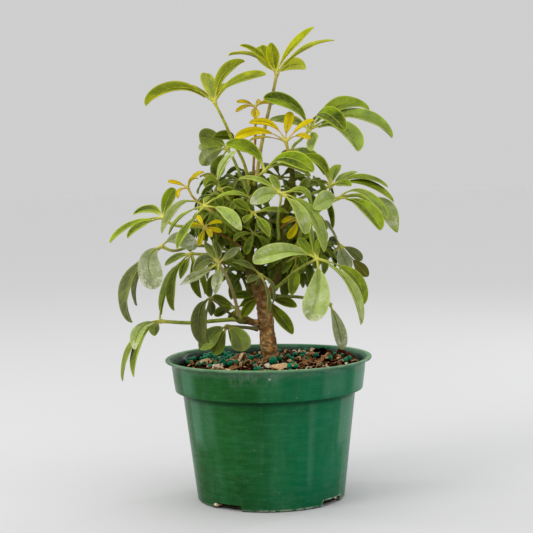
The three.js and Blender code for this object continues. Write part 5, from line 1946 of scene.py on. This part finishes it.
    def upper_finish(self, age: Age, green: Green) -> Material:
        """Make the upper face of a leaflet: green, with rib, veins, pale margin, dust and painted
        light and shade.
        """
        finish = Finish("Leaf upper " + age.value, Specular_IOR_Level=0.06)
        sheet = finish.sheet
        figure = finish.group(Group.FIGURE, rib_width=0.07, vein_count=self.vein_count,
                              margin_width=green.margin_width)
        light, dust, withered = figure["Light"], figure["Dust"], figure["Withered"]
        # Painted light and shade: the leaflet's light and its shaded half set the base between the
        # deep and the bright green; the margin and the rib fade where the light is low.
        level = light * 0.72 + finish.grain(70.0, 3.0) * 1.5 - figure["Half"] * 0.27
        finish.start(level.ease(0.68, 1.45), green.deep, green.bright)
        finish.lay("Mottle", green.margin, finish.wear(75.0, 0.5, 0.2) * 0.2)
        finish.lay("Rim", green.bright, figure["Rim"] * 0.42)
        finish.lay("Veins", green.rib, figure["Veins"] * 0.13)
        margin = sheet.blend(withered.ease(0.0, 0.5), green.margin, (0.3, 0.17, 0.035))
        finish.lay("Margin", margin, figure["Margin"] * light.ease(0.0, 0.6, 0.08, 0.72))
        finish.lay("Withered", (0.13, 0.085, 0.008), withered * 0.9)
        film = finish.wear(60.0, 0.78, 0.4) * 0.78 + finish.wear(330.0, 0.44, 0.07) * 0.22
        powder = sheet.math("MULTIPLY", film, dust, clamp=True)
        finish.lay("Dust", green.dust, powder)
        crust = finish.wear(120.0, 0.4, 0.05) * figure["Tip"].ease(0.35, 0.85, 0.1, 1.0)
        finish.lay("Crust", (0.66, 0.64, 0.48), crust * dust.ease(0.2, 0.9, 0.0, 0.8))
        rib = figure["Rib"] * light.ease(0.0, 0.5, 0.06, 0.5) * dust.ease(0.5, 0.9, 1.0, 0.35)
        finish.lay("Rib", green.rib, rib)
        finish.lay("Inner shade", scaled(green.deep, 0.3), light.ease(0.0, 0.16, 0.45, 0.0))
        finish.wire("Roughness", powder * 0.35 + green.roughness)
        relief = finish.grain(1300.0, 2.0) * 0.2 + figure["Veins"] * -0.4 + figure["Rib"] * 0.3
        return finish.done(relief, 0.22, 0.7)

    def under_finish(self, age: Age, green: Green) -> Material:
        """Make the paler, duller underside of a leaflet."""
        finish = Finish("Leaf under " + age.value, Roughness=0.65, Specular_IOR_Level=0.06)
        figure = finish.group(Group.FIGURE, rib_width=0.06, vein_count=self.vein_count,
                              margin_width=green.margin_width)
        finish.start(finish.grain(90.0, 4.0).ease(0.3, 0.7), scaled(green.under, 0.62), green.under)
        finish.lay("Veins", green.rib, figure["Veins"] * 0.22)
        finish.lay("Margin", green.margin, figure["Margin"] * 0.7)
        return finish.done(figure["Veins"] + figure["Rib"], 0.25, 0.6)

    @staticmethod
    def stalk_finish(age: Age, green: Green) -> Material:
        """Make the yellow-green leaf stalks, with a few brown marks and painted light and shade."""
        finish = Finish("Leaf stalk " + age.value, Roughness=0.5, Specular_IOR_Level=0.25)
        sheet = finish.sheet
        near, woody, light, _ = sheet.look()
        deep, bright = green.stalk_tones()
        fine = finish.grain(240.0, 4.0)
        finish.start(fine.ease(0.3, 0.7), deep, bright)
        finish.lay("Marks", (0.25, 0.15, 0.02), finish.wear(190.0, 0.34, 0.1, 2.0) * 0.35)
        finish.lay("Inner shade", scaled(deep, 0.3), light.ease(0.0, 0.5, 0.75, 0.0))
        # The wood is painted darker where the light is low.
        wood = sheet.blend(light.ease(0.1, 0.6), (0.2, 0.13, 0.05), (0.5, 0.36, 0.17))
        finish.lay("Wood", wood, woody * 0.9)
        # The hub's own pale colour, painted brighter where the light is high.
        glow = near * light.ease(0.0, 0.5, 0.15, 0.85) * (1.0 - woody)
        finish.lay("Pale hub", (0.78, 0.72, 0.12), glow)
        return finish.done(fine, 0.2, 0.6)


def main() -> None:
    """Load the frame and build the studio and the plant round it."""
    logging.basicConfig(level=logging.INFO, format="%(name)s %(message)s")
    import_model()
    ShaderGroups()
    Studio().build()
    pot = Pot()
    pot.build()
    PottingMix(pot).build()
    Trunk().build()
    Foliage().build()


if __name__ == "__main__":
    main()
